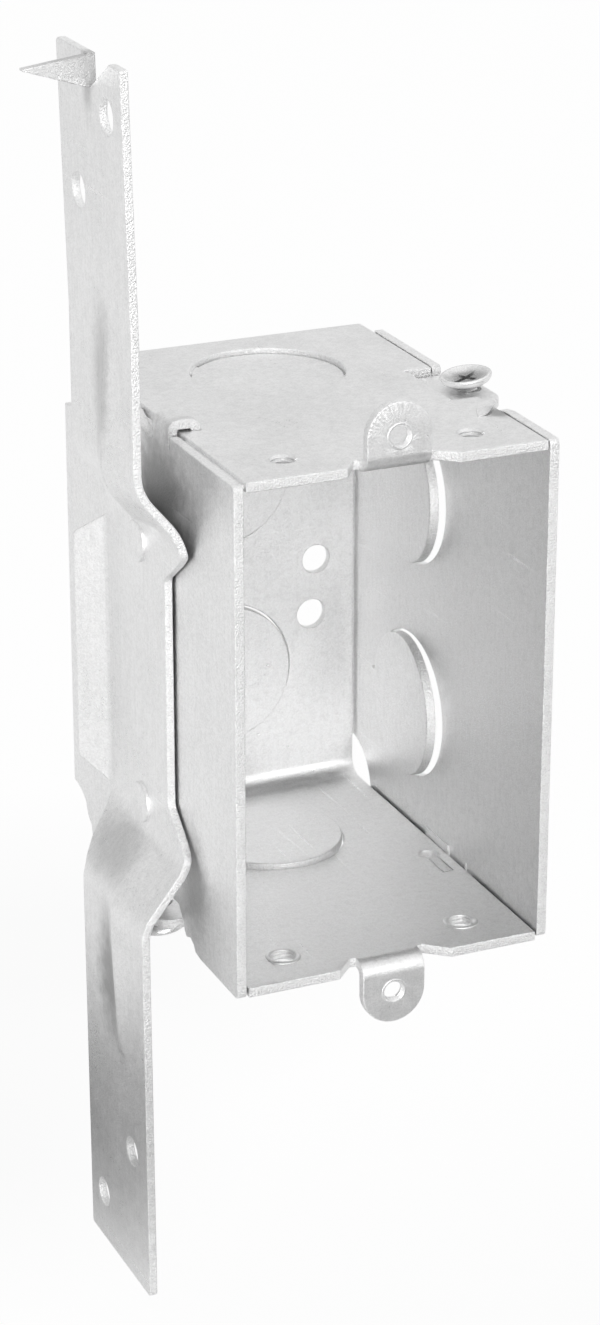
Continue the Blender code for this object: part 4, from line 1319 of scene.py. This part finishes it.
def make_seams(thickness):
    """What lies deep in the seams between the body's walls and the plates.

    Three of the long seams hold a dark strip of painted shade. Zinc closes the upper left one, the
    two beside the back wall and the scallop at the right plate's foot.
    """
    side_low = BODY_HALF_WIDTH + SEAM_SIDE_GAP
    side_high = HALF_WIDTH - thickness - SEAM_SIDE_GAP
    runs = (
        (SEAM_START, TONGUE_FRONT - TONGUE_SLIT - SEAM_END_GAP),
        (TONGUE_REAR + TONGUE_SLIT + SEAM_END_GAP, BOX_DEPTH - PLATE_REAR_NOTCH),
    )
    wall_low = HALF_HEIGHT - thickness + SEAM_DEPTH
    wall_high = HALF_HEIGHT - SEAM_DEPTH
    reach = HALF_HEIGHT - PLATE_REAR_NOTCH
    shade_strips = bmesh.new()
    zinc = bmesh.new()
    for side in (1, -1):
        inner, outer = sorted((side * side_low, side * side_high))
        for end in (1, -1):
            low, high = sorted((end * wall_low, end * wall_high))
            # Three seams get a dark strip of painted shade, the upper left one a zinc strip.
            solid = zinc if (side, end) == (-1, 1) else shade_strips
            for start, stop in runs:
                box_between(solid, (inner, from_front(start), low), (outer, from_front(stop), high))
        box_between(zinc, (inner, -thickness + SEAM_DEPTH, -reach), (outer, -SEAM_DEPTH, reach))
    foot = -HALF_HEIGHT + PLATE_SHORTFALL
    low = (side_low, from_front(HOOK_REAR), foot)
    high = (side_high, from_front(HOOK_SCALLOP_END), foot + SLIVER_HEIGHT)
    box_between(zinc, low, high)
    for name, solid, material in (
        ("seam_dirt", shade_strips, painted_shade_material("seam_dirt_finish")),
        ("seam_zinc", zinc, finish_of("plate_zinc")),
    ):
        mesh = finished_mesh(name, solid)
        mesh.materials.append(material)
        finish_piece(scene_object(name, mesh))


# Side plates


def hook_line():
    """The hook's outer face in X and Z: down the right plate, inward, then up into its slot."""
    thickness = bpy.context.scene.switch_box_sheet.thickness
    outside = HALF_HEIGHT + FIT_GAP + thickness
    leg = HALF_WIDTH - HOOK_RUN
    tip = -HALF_HEIGHT + thickness - HOOK_TIP_BELOW_WALL
    corners = [(HALF_WIDTH, HALF_HEIGHT), (HALF_WIDTH, -outside), (leg, -outside), (leg, tip)]
    return BentLine(corners, [HOOK_BEND, HOOK_BEND], start=-HALF_HEIGHT)


def plate_outline(hook):
    """The right plate's blank in Y and Z, from its lower front corner and along the bottom."""
    front = from_front(0)
    bottom = -HALF_HEIGHT + PLATE_SHORTFALL
    top = HALF_HEIGHT
    scallop = bottom + HOOK_RELIEF_DEPTH
    shoulder = scallop - HOOK_RELIEF / 2
    hook_end = -hook.marks[-1]
    hook_front = from_front(HOOK_FRONT)
    hook_rear = from_front(HOOK_REAR)
    notch_rear = from_front(PLATE_NOTCH_REAR)
    notch_floor = top - PLATE_NOTCH_DEPTH
    steps = CIRCLE_STEPS // 4
    quarter = math.pi / 2
    missed = math.asin(PLATE_SHORTFALL / PLATE_REAR_NOTCH)
    lower_notch = ring((0, -HALF_HEIGHT), PLATE_REAR_NOTCH, steps, math.pi - missed, missed - quarter)
    upper_notch = ring((0, top), PLATE_REAR_NOTCH, steps, -quarter, -quarter)
    torn = [(from_front(distance), top - depth) for distance, depth in PLATE_NOTCH_TORN_EDGE]
    scalloped = [(from_front(distance), bottom + depth) for distance, depth in HOOK_SCALLOP]
    round_ = PLATE_NOTCH_ROUND
    return [
        *rounded_corner((front, top), (front, bottom), (0, bottom), PLATE_FRONT_CORNER),
        (hook_front - HOOK_RELIEF, bottom),
        (hook_front - HOOK_RELIEF, shoulder),
        (hook_front - HOOK_RELIEF / 2, scallop),
        (hook_front, shoulder),
        (hook_front, hook_end),
        (hook_rear, hook_end),
        (hook_rear, shoulder),
        *scalloped,
        (from_front(HOOK_SCALLOP_END), bottom),
        *lower_notch,
        *upper_notch,
        *rounded_corner((0, top), (notch_rear, top), (notch_rear, 0), round_),
        *rounded_corner((notch_rear, top), (notch_rear, notch_floor), (front, notch_floor), round_),
        *torn,
        (from_front(PLATE_NOTCH_FRONT), top),
        *rounded_corner((0, top), (front, top), (front, bottom), PLATE_FRONT_CORNER),
    ]


def make_plate(side, sheet):
    """The plate of the given side: 1 is the right one, -1 the left one, turned half round."""
    side_name = {1: "right", -1: "left"}[side]
    name = side_name + "_plate_sheet"
    hook = hook_line()
    plate_y = from_front(PLATE_KNOCKOUT_FROM_FRONT)
    heights = (-PLATE_KNOCKOUT_RISE, PLATE_KNOCKOUT_RISE) if side > 0 else ()
    gap = KNOCKOUT_RADIUS + KNOCKOUT_SLIT
    holes = [ring((plate_y, height), gap, CIRCLE_STEPS) for height in heights]
    outline, *holes = [[(y, -v) for y, v in loop] for loop in (plate_outline(hook), *holes)]
    scores = hook.marks[1:-1]
    mesh = flat_sheet(name, outline, holes, sheet.thickness, sheet.edge_round, along=scores)
    zinc = finish_of("plate_zinc")
    values = {
        "Start": -HALF_HEIGHT,
        "Tab Path": [(side * x, 0, side * z) for x, z in hook.points],
        "Tab Start": hook.marks[0],
        "Tab Centre": (from_front(HOOK_FRONT) + from_front(HOOK_REAR)) / 2,
        "Tab Half Width": (HOOK_REAR - HOOK_FRONT) / 2 + TOLERANCE,
        "Side": (0, 1, 0),
    }
    face = side * HALF_WIDTH
    path = [(face, 0, side * HALF_HEIGHT), (face, 0, -side * HALF_HEIGHT * PLATE_PATH_REACH)]
    plate = folded_sheet(name, mesh, path, values, zinc)
    smooth_shading(plate)
    finish_piece(plate, side_name + "_side_plate")
    if not heights:
        return
    frames = [
        knockout_frame((face, plate_y, height), (side, 0, 0), (0, 1, 0), PLATE_KNOCKOUT_TILT)
        for height in heights
    ]
    discs = copies(side_name + "_plate_discs", knockout_disc("plate_disc", sheet), frames, zinc)
    finish_piece(discs)


# Bracket


def strap_line():
    """The strap's outer face in X and Z, from its lower end up."""
    flat = -(HALF_WIDTH + FIT_GAP + STRAP_SHEET)
    arm = flat - STRAP_OFFSET
    corners = [
        (arm + STRAP_BOTTOM_LEAN, STRAP_BOTTOM),
        (arm, LOWER_JOG[1]),
        (flat, LOWER_JOG[0]),
        (flat, UPPER_JOG[0]),
        (arm, UPPER_JOG[1]),
        (arm, STRAP_LEAN_START),
        (arm - STRAP_TOP_LEAN, STRAP_TOP),
    ]
    bends = [*reversed(LOWER_JOG_BENDS), *UPPER_JOG_BENDS, LEAN_BEND]
    return BentLine(corners, bends, start=0)


def flange_line():
    """The rear flange's outer face, as distance back and distance outward."""
    fold = from_front(FLANGE_FOLD_FROM_FRONT)
    rise = FLANGE_LENGTH * math.sin(FLANGE_ANGLE)
    tip = (fold + FLANGE_LENGTH * math.cos(FLANGE_ANGLE), rise)
    front = from_front(STRAP_FRONT)
    return BentLine([(front, 0), (fold, 0), tip], [FLANGE_BEND], start=front)


def strap_outline(strap, flange):
    """The strap's blank in Y and in distance along it, from its lower front corner up."""
    front = from_front(STRAP_FRONT)
    rear = front + STRAP_WIDTH
    waist = from_front(WAIST_FROM_FRONT)
    fold = from_front(FLANGE_FOLD_FROM_FRONT)
    shoulder = (rear + fold) / 2
    free_edge = flange.marks[-1]
    spur = from_front(SPUR_FOLD_FROM_FRONT)
    notch_end = from_front(SPUR_NOTCH_END)
    corners = [
        (front, STRAP_BOTTOM, STRAP_CORNER),
        (front, WING_TIPS[0], WING_TIP_ROUND),
        (waist, WAIST[0], WING_TIP_ROUND),
        (waist, WAIST[1], WING_TIP_ROUND),
        (front, WING_TIPS[1], WING_TIP_ROUND),
        (front, STRAP_TOP, STRAP_TOP_CORNER),
        (notch_end, STRAP_TOP, SPUR_NOTCH_CORNERS[0]),
        (spur, STRAP_TOP - SPUR_NOTCH_DEPTH, SPUR_NOTCH_CORNERS[1]),
        (spur, STRAP_TOP, 0),
        (rear, STRAP_TOP, TAB_CORNER),
        (rear, UPPER_JOG[1], JOG_CORNER),
        (shoulder, SHOULDERS[1], SHOULDER_CORNER),
        (fold, FLANGE_FOLD_SPAN[1], FLANGE_CORNER),
        (free_edge, FLANGE_EDGE_SPAN[1], FLANGE_CORNER),
        (free_edge, FLANGE_EDGE_SPAN[0], FLANGE_CORNER),
        (fold, FLANGE_FOLD_SPAN[0], FLANGE_CORNER),
        (shoulder, SHOULDERS[0], SHOULDER_CORNER),
        (rear, LOWER_JOG[1], JOG_CORNER),
        (rear, STRAP_BOTTOM, STRAP_CORNER),
    ]
    return rounded_outline([(y, strap.at_height(height), radius) for y, height, radius in corners])


def along_table(table, part):
    """The value of a table of (part, value) rows at a part between them."""
    for (start, first), (end, last) in zip(table, table[1:]):
        if part <= end:
            return first + (last - first) * (part - start) / (end - start)
    return table[-1][1]


def rib_press(strap):
    """How far the two pressed ribs push the strap outward at a place on its blank."""
    centre = from_front(RIB_FROM_FRONT)
    ribs = ((*UPPER_RIB, UPPER_RIB_REAR_WIDTHS), (*LOWER_RIB, LOWER_RIB_REAR_WIDTHS))

    def press(u, v):
        height = strap.height_at(v)
        for jog_end, tip, rear_widths in ribs:
            part = (height - jog_end) / (tip - jog_end)
            if not 0 < part < 1:
                continue
            widths = RIB_FRONT_WIDTHS if u < centre else rear_widths
            off = abs(u - centre) / along_table(widths, part)
            if off >= 1:
                return 0.0
            crest = ease(part / RIB_FOOT) * math.sqrt(1 - part)
            return RIB_RISE * (1 - off) ** RIB_SHARPNESS * (1 + RIB_FULLNESS * off) * crest
        return 0.0

    return press


def button_mesh(name):
    """A round half-sheared button, standing on Z 0."""
    rim = [(BUTTON_RADIUS - inset, BUTTON_RISE * share) for inset, share in BUTTON_RIM]
    profile = [(0, BUTTON_FOOT), (BUTTON_RADIUS, BUTTON_FOOT), *rim, (0, BUTTON_RISE)]
    return lathe(name, profile, CIRCLE_STEPS // 2)


def make_bracket(sheet):
    """The strap, folded at its flange and then along its jogs, with its buttons and its tooth."""
    strap = strap_line()
    flange = flange_line()
    holes = []
    for places, radius in (
        (UPPER_NAIL_HOLES, UPPER_NAIL_RADIUS),
        (LOWER_NAIL_HOLES, LOWER_NAIL_RADIUS),
    ):
        for distance, height in places:
            centre = (from_front(distance), strap.at_height(height))
            holes.append(ring(centre, radius, SMALL_CIRCLE_STEPS))
    front = from_front(STRAP_FRONT)
    across = [front + STRAP_WIDTH * i / RIB_COLUMNS for i in range(1, RIB_COLUMNS)]
    across += [from_front(RIB_FROM_FRONT), *flange.marks[1:-1]]
    along = list(strap.marks[1:-1])
    for jog_end, tip in (UPPER_RIB, LOWER_RIB):
        for i in range(RIB_ROWS + 1):
            along.append(strap.at_height(jog_end + (tip - jog_end) * i / RIB_ROWS))
    outline = strap_outline(strap, flange)
    sizes = (STRAP_SHEET, sheet.edge_round)
    mesh = flat_sheet("bracket_strap", outline, holes, *sizes, across, along, rib_press(strap))
    for vert in mesh.vertices:
        vert.co = (vert.co.y, vert.co.x, vert.co.z)
    mesh.flip_normals()
    zinc = finish_of("strap_zinc")
    for name, line in (("bracket_blank", flange), ("bracket_strap", strap)):
        path = [(point.x, 0, point.y) for point in line.points]
        values = {"Start": line.marks[0], "Side": (0, 1, 0)}
        bracket = folded_sheet(name, mesh, path, values, zinc)
        mesh = bracket.data
        if line is flange:
            bpy.data.objects.remove(bracket)
    smooth_shading(bracket)
    finish_piece(bracket, "stud_bracket")

    face = -(HALF_WIDTH + FIT_GAP + STRAP_SHEET)
    button_y = from_front(BUTTON_FROM_FRONT)
    frames = [frame_at((face, button_y, height), (-1, 0, 0)) for height in BUTTON_HEIGHTS]
    buttons = copies("bracket_buttons", button_mesh("button"), frames, zinc)
    finish_piece(buttons)
    make_spur(strap.points[-1].x, zinc)


def make_spur(face, zinc):
    """The pointed tooth at the top of the strap, standing outward from the rear tab's edge."""
    root = face + STRAP_SHEET * SPUR_ROOT_SHARE
    tip = face - SPUR_LENGTH
    outline = [
        (root, STRAP_TOP - SPUR_INSET),
        (tip, STRAP_TOP - SPUR_TIP_DROP),
        (tip, STRAP_TOP - SPUR_TIP_DROP - SPUR_TIP_HEIGHT),
        (root, STRAP_TOP - SPUR_ROOT_HEIGHT),
    ]
    mesh = flat_sheet("bracket_spur", outline, [], STRAP_SHEET, SPUR_INSET)
    front = from_front(SPUR_FOLD_FROM_FRONT) - SPUR_INSET
    for vert in mesh.vertices:
        vert.co = (vert.co.x, front - vert.co.z, vert.co.y)
    mesh.materials.append(zinc)
    spur = scene_object("bracket_spur", mesh)
    smooth_shading(spur)
    finish_piece(spur)


# Screws


def drive_cutter(name, under, reach, depth, turn):
    """A tapering slot that is sunk into a screw's head."""
    solid = bmesh.new()
    top = under + SCREW_HEAD_HEIGHT * DRIVE_TOP_SHARE
    floor = under + SCREW_HEAD_HEIGHT - depth
    for vert in bmesh.ops.create_cube(solid, size=1)["verts"]:
        below = vert.co.z < 0
        along, across = DRIVE_TAPERS if below else (1, 1)
        vert.co.x *= 2 * reach * along
        vert.co.y *= 2 * DRIVE_HALF_WIDTH * across
        vert.co.z = floor if below else top
    mesh = finished_mesh(name, solid)
    mesh.transform(Matrix.Rotation(turn, 4, "Z"))
    return scene_object(name, mesh)


def make_screw(name, side, node):
    """A side screw: 1 is the one on the top right tongue, -1 the one on the bottom left."""
    thickness = bpy.context.scene.switch_box_sheet.thickness
    zinc = finish_of("screw_zinc")
    under = HALF_HEIGHT - TONGUE_SINK + FIT_GAP + SCREW_HEAD_RADIUS * math.sin(SCREW_LEAN)
    tip = under - SCREW_SHANK_LENGTH
    profile = [
        (0, tip),
        (SCREW_SHANK_RADIUS * SCREW_TIP_SHARE, tip),
        (SCREW_SHANK_RADIUS, tip + SCREW_TIP_LENGTH),
        (SCREW_SHANK_RADIUS, under),
    ]
    for out, up in SCREW_HEAD_SHARES:
        profile.append((SCREW_HEAD_RADIUS * out, under + SCREW_HEAD_HEIGHT * up))
    screw = scene_object(name, lathe(name, profile, CIRCLE_STEPS // 2))
    screw.data.materials.append(zinc)
    slots = (
        drive_cutter(name + "_slot", under, SLOT_REACH, SLOT_DEPTH, 0),
        drive_cutter(name + "_cross", under, CROSS_REACH, CROSS_DEPTH, math.pi / 2),
    )
    for cutter in slots:
        sink = screw.modifiers.new("drive", "BOOLEAN")
        sink.object = cutter
        sink.operation = "DIFFERENCE"
        sink.solver = "EXACT"
    apply_modifiers(screw, slots)
    spot = Vector((side * SCREW_FROM_MIDDLE, from_front(SCREW_FROM_FRONT), 0))
    place = Matrix.Translation(spot)
    if side < 0:
        place = place @ Matrix.Rotation(math.pi, 4, "Y")
    pivot = Matrix.Translation((0, 0, HALF_HEIGHT - TONGUE_SINK - thickness / 2))
    place = place @ pivot @ Matrix.Rotation(-SCREW_LEAN, 4, "Y") @ pivot.inverted()
    screw.data.transform(place @ Matrix.Rotation(SCREW_TURN, 4, "Z"))
    smooth_shading(screw)
    finish_piece(screw, node)
    length = SCREW_SHANK_LENGTH - SCREW_THREAD_PITCH
    sizes = (SCREW_SHANK_RADIUS, SCREW_THREAD_RIDGE, length / SCREW_THREAD_PITCH, length)
    thread = thread_mesh(name + "_thread", *sizes, zinc)
    thread.transform(place @ Matrix.Translation((0, 0, tip + SCREW_THREAD_START)))
    wound = scene_object(name + "_thread", thread)
    smooth_shading(wound)
    finish_piece(wound)


# Stage


def background_share(tree):
    """How much of a seen or mirrored ray ends on the plain white background."""
    rays = add_node(tree, "ShaderNodeLightPath").outputs
    seen = ((rays["Is Camera Ray"], SEEN_SHARE), (rays["Is Transmission Ray"], SEEN_SHARE))
    return weighted_sum(tree, 0.0, *seen, (rays["Is Glossy Ray"], MIRRORED_SHARE))


def floor_material(name, colour):
    """A pale floor that glows where it is seen, and less where it is mirrored.

    The rest of it takes the object's shadow and has soft patches of painted shade, which bent metal
    mirrors.
    """
    material = bpy.data.materials.new(name)
    material.use_nodes = True
    tree = material.node_tree
    tree.nodes.clear()
    place = add_node(tree, "ShaderNodeTexCoord").outputs["Object"]
    shade = 1.0
    # Patches of painted shade darken the floor's paint, which bent metal mirrors.
    for spot, inner, outer, depth in FLOOR_PAINTED_SHADE:
        inputs = {0: place, 1: (*spot, STRAP_LOW.z)}
        away = add_node(tree, "ShaderNodeVectorMath", inputs, operation="DISTANCE")
        kept = remap(tree, away.outputs["Value"], inner, outer, 1.0 - depth, 1.0)
        shade = math_node(tree, "MULTIPLY", kept, shade)
    paint = add_node(tree, "ShaderNodeBsdfDiffuse", {"Color": scaled(tree, colour, shade)})
    glow = add_node(tree, "ShaderNodeEmission", {"Color": (*colour, 1), "Strength": 1.0})
    inputs = {0: background_share(tree), 1: paint.outputs[0], 2: glow.outputs[0]}
    mixed = add_node(tree, "ShaderNodeMixShader", inputs)
    out = add_node(tree, "ShaderNodeOutputMaterial")
    tree.links.new(mixed.outputs[0], out.inputs["Surface"])
    return material


def make_world(low_tone, high_tone):
    """An even pale surrounding with darker soft zones, which give bent metal its shape."""
    world = bpy.data.worlds.new("studio")
    bpy.context.scene.world = world
    world.use_nodes = True
    tree = world.node_tree
    tree.nodes.clear()
    place = add_node(tree, "ShaderNodeTexCoord").outputs["Generated"]
    height = add_node(tree, "ShaderNodeSeparateXYZ", {0: place}).outputs[2]
    strength = remap(tree, height, *WORLD_HEIGHTS, low_tone, high_tone)
    for direction, inner, outer, depth in DARK_ZONES:
        inputs = {0: place, 1: tuple(Vector(direction).normalized())}
        near = add_node(tree, "ShaderNodeVectorMath", inputs, operation="DOT_PRODUCT")
        ends = (math.cos(outer), math.cos(inner))
        kept = remap(tree, near.outputs["Value"], *ends, 1.0, 1.0 - depth)
        strength = math_node(tree, "MULTIPLY", strength, kept)
    share = background_share(tree)
    rest = math_node(tree, "SUBTRACT", 1.0, share)
    strength = math_node(tree, "MULTIPLY_ADD", strength, rest, share)
    light = add_node(tree, "ShaderNodeBackground", {"Color": (1, 1, 1, 1), "Strength": strength})
    out = add_node(tree, "ShaderNodeOutputWorld")
    tree.links.new(light.outputs[0], out.inputs["Surface"])


def soft_light(name, place, size, power):
    """A square lamp turned to the middle of the stage."""
    lamp = bpy.data.lights.new(name, "AREA")
    lamp.shape = "SQUARE"
    lamp.size = size
    lamp.energy = power
    obj = scene_object(name, lamp)
    obj.location = place
    towards = Vector(STAGE_MIDDLE) - Vector(place)
    obj.rotation_euler = towards.to_track_quat("-Z", "Y").to_euler()


def make_stage(settings):
    """The floor, the surrounding, the lamps and the camera."""
    scene = bpy.context.scene
    scene.view_settings.view_transform = "Standard"
    floor_z = STRAP_LOW.z - settings.floor_drop
    mesh = bpy.data.meshes.new("floor")
    half = FLOOR_HALF_SIZE
    places = ((-half, -half), (half, -half), (half, half), (-half, half))
    mesh.from_pydata([(x, y, floor_z) for x, y in places], [], [(0, 1, 2, 3)])
    mesh.materials.append(floor_material("pale_floor", tuple(settings.floor_colour)))
    scene_object("floor", mesh)
    make_world(settings.low_tone, settings.high_tone)
    powers = {"key": settings.key_power, "front": settings.front_power, "fill": settings.fill_power}
    for name, power in powers.items():
        soft_light(name, *LAMPS[name], power)
    camera = bpy.data.cameras.new("camera")
    camera.sensor_fit = "VERTICAL"
    camera.sensor_height = CAMERA_SENSOR_HEIGHT
    camera.lens = CAMERA_LENS
    camera.clip_start = 0.01
    view = scene_object("camera", camera)
    view.location = CAMERA_PLACE
    view.rotation_euler = CAMERA_TURN
    scene.camera = view


# Add-on


class SwitchBoxSheet(bpy.types.PropertyGroup):
    """Sizes of the folded sheets"""

    thickness: FloatProperty(
        name="Sheet Thickness",
        description="Thickness of the body's and side plates' sheet",
        default=0.0015,
        min=0.0005,
        unit="LENGTH",
        precision=5,
    )
    edge_round: FloatProperty(
        name="Edge Rounding",
        description="Radius of every sheared edge",
        default=0.0002,
        min=0.00002,
        unit="LENGTH",
        precision=5,
    )


class SwitchBoxFinish(bpy.types.PropertyGroup):
    """Look of the zinc coat"""

    zinc: FloatVectorProperty(
        name="Zinc Colour",
        description="Colour of the zinc coat where it is clean",
        default=(0.93, 0.93, 0.93),
        subtype="COLOR",
        min=0,
        max=1,
    )
    grain_scale: FloatProperty(
        name="Grain Scale",
        description="How fine the coat's grain is",
        default=3600.0,
        min=100.0,
    )
    grain_depth: FloatProperty(
        name="Grain Depth",
        description="Height of the coat's grain",
        default=0.000012,
        min=0.0,
        unit="LENGTH",
        precision=6,
    )
    mottle_scale: FloatProperty(
        name="Mottle Scale",
        description="How fine the coat's soft clouds are",
        default=60.0,
        min=1.0,
    )


class SwitchBoxStage(bpy.types.PropertyGroup):
    """Floor, lamps and surrounding"""

    floor_colour: FloatVectorProperty(
        name="Floor Colour",
        description="Colour of the floor",
        default=(1.0, 1.0, 1.0),
        subtype="COLOR",
        min=0,
        max=1,
    )
    floor_drop: FloatProperty(
        name="Floor Drop",
        description="How far the floor lies below the bracket's lower end",
        default=0.002,
        min=0.0,
        unit="LENGTH",
    )
    low_tone: FloatProperty(
        name="Low Tone",
        description="Brightness of the surrounding below",
        default=0.60,
        min=0.0,
    )
    high_tone: FloatProperty(
        name="High Tone",
        description="Brightness of the surrounding above",
        default=0.68,
        min=0.0,
    )
    key_power: FloatProperty(
        name="Key Power",
        description="Power of the main soft lamp",
        default=5.2,
        min=0.0,
        unit="POWER",
    )
    front_power: FloatProperty(
        name="Front Power",
        description="Power of the faint lamp that lights the inside from the front right",
        default=1.2,
        min=0.0,
        unit="POWER",
    )
    fill_power: FloatProperty(
        name="Fill Power",
        description="Power of the second soft lamp",
        default=2.2,
        min=0.0,
        unit="POWER",
    )


class SWITCHBOX_OT_body(bpy.types.Operator):
    """Fold the box's body and add its knockout discs, collars, threads, flake and seams"""

    bl_idname = "switchbox.body"
    bl_label = "Body"

    def execute(self, context):
        make_body(context.scene.switch_box_sheet)
        return {"FINISHED"}


class SWITCHBOX_OT_side_plates(bpy.types.Operator):
    """Make the two hooked side plates"""

    bl_idname = "switchbox.side_plates"
    bl_label = "Side Plates"

    def execute(self, context):
        for side in (1, -1):
            make_plate(side, context.scene.switch_box_sheet)
        return {"FINISHED"}


class SWITCHBOX_OT_bracket(bpy.types.Operator):
    """Fold the strap bracket with its ribs, buttons and spur"""

    bl_idname = "switchbox.bracket"
    bl_label = "Strap Bracket"

    def execute(self, context):
        make_bracket(context.scene.switch_box_sheet)
        return {"FINISHED"}


class SWITCHBOX_OT_screws(bpy.types.Operator):
    """Make the two side screws"""

    bl_idname = "switchbox.screws"
    bl_label = "Side Screws"

    def execute(self, context):
        make_screw("screw_top_right", 1, "side_screw_top_right")
        make_screw("screw_bottom_left", -1, "side_screw_bottom_left")
        return {"FINISHED"}


class SWITCHBOX_OT_stage(bpy.types.Operator):
    """Set the floor, the lamps, the surrounding and the camera"""

    bl_idname = "switchbox.stage"
    bl_label = "Stage"

    def execute(self, context):
        make_stage(context.scene.switch_box_stage)
        return {"FINISHED"}


OPERATORS = (
    SWITCHBOX_OT_body,
    SWITCHBOX_OT_side_plates,
    SWITCHBOX_OT_bracket,
    SWITCHBOX_OT_screws,
    SWITCHBOX_OT_stage,
)


class SWITCHBOX_PT_panel(bpy.types.Panel):
    """Sizes, finish and stage of the switch box"""

    bl_idname = "SWITCHBOX_PT_panel"
    bl_label = "Switch Box"
    bl_space_type = "VIEW_3D"
    bl_region_type = "UI"
    bl_category = "Switch Box"

    def draw(self, context):
        scene = context.scene
        for settings in (scene.switch_box_sheet, scene.switch_box_finish, scene.switch_box_stage):
            box = self.layout.box()
            for name in settings.bl_rna.properties.keys():
                if name not in ("rna_type", "name"):
                    box.prop(settings, name)
        for operator in OPERATORS:
            self.layout.operator(operator.bl_idname)


SETTINGS = {
    "switch_box_sheet": SwitchBoxSheet,
    "switch_box_finish": SwitchBoxFinish,
    "switch_box_stage": SwitchBoxStage,
}


def register():
    for group in SETTINGS.values():
        bpy.utils.register_class(group)
    for name, group in SETTINGS.items():
        setattr(bpy.types.Scene, name, PointerProperty(type=group))
    for operator in OPERATORS:
        bpy.utils.register_class(operator)
    bpy.utils.register_class(SWITCHBOX_PT_panel)


def unregister():
    bpy.utils.unregister_class(SWITCHBOX_PT_panel)
    for operator in reversed(OPERATORS):
        bpy.utils.unregister_class(operator)
    for name, group in SETTINGS.items():
        delattr(bpy.types.Scene, name)
        bpy.utils.unregister_class(group)


def main():
    register()
    bpy.ops.switchbox.stage()
    bpy.ops.switchbox.body()
    bpy.ops.switchbox.side_plates()
    bpy.ops.switchbox.bracket()
    bpy.ops.switchbox.screws()


if __name__ == "__main__":
    main()
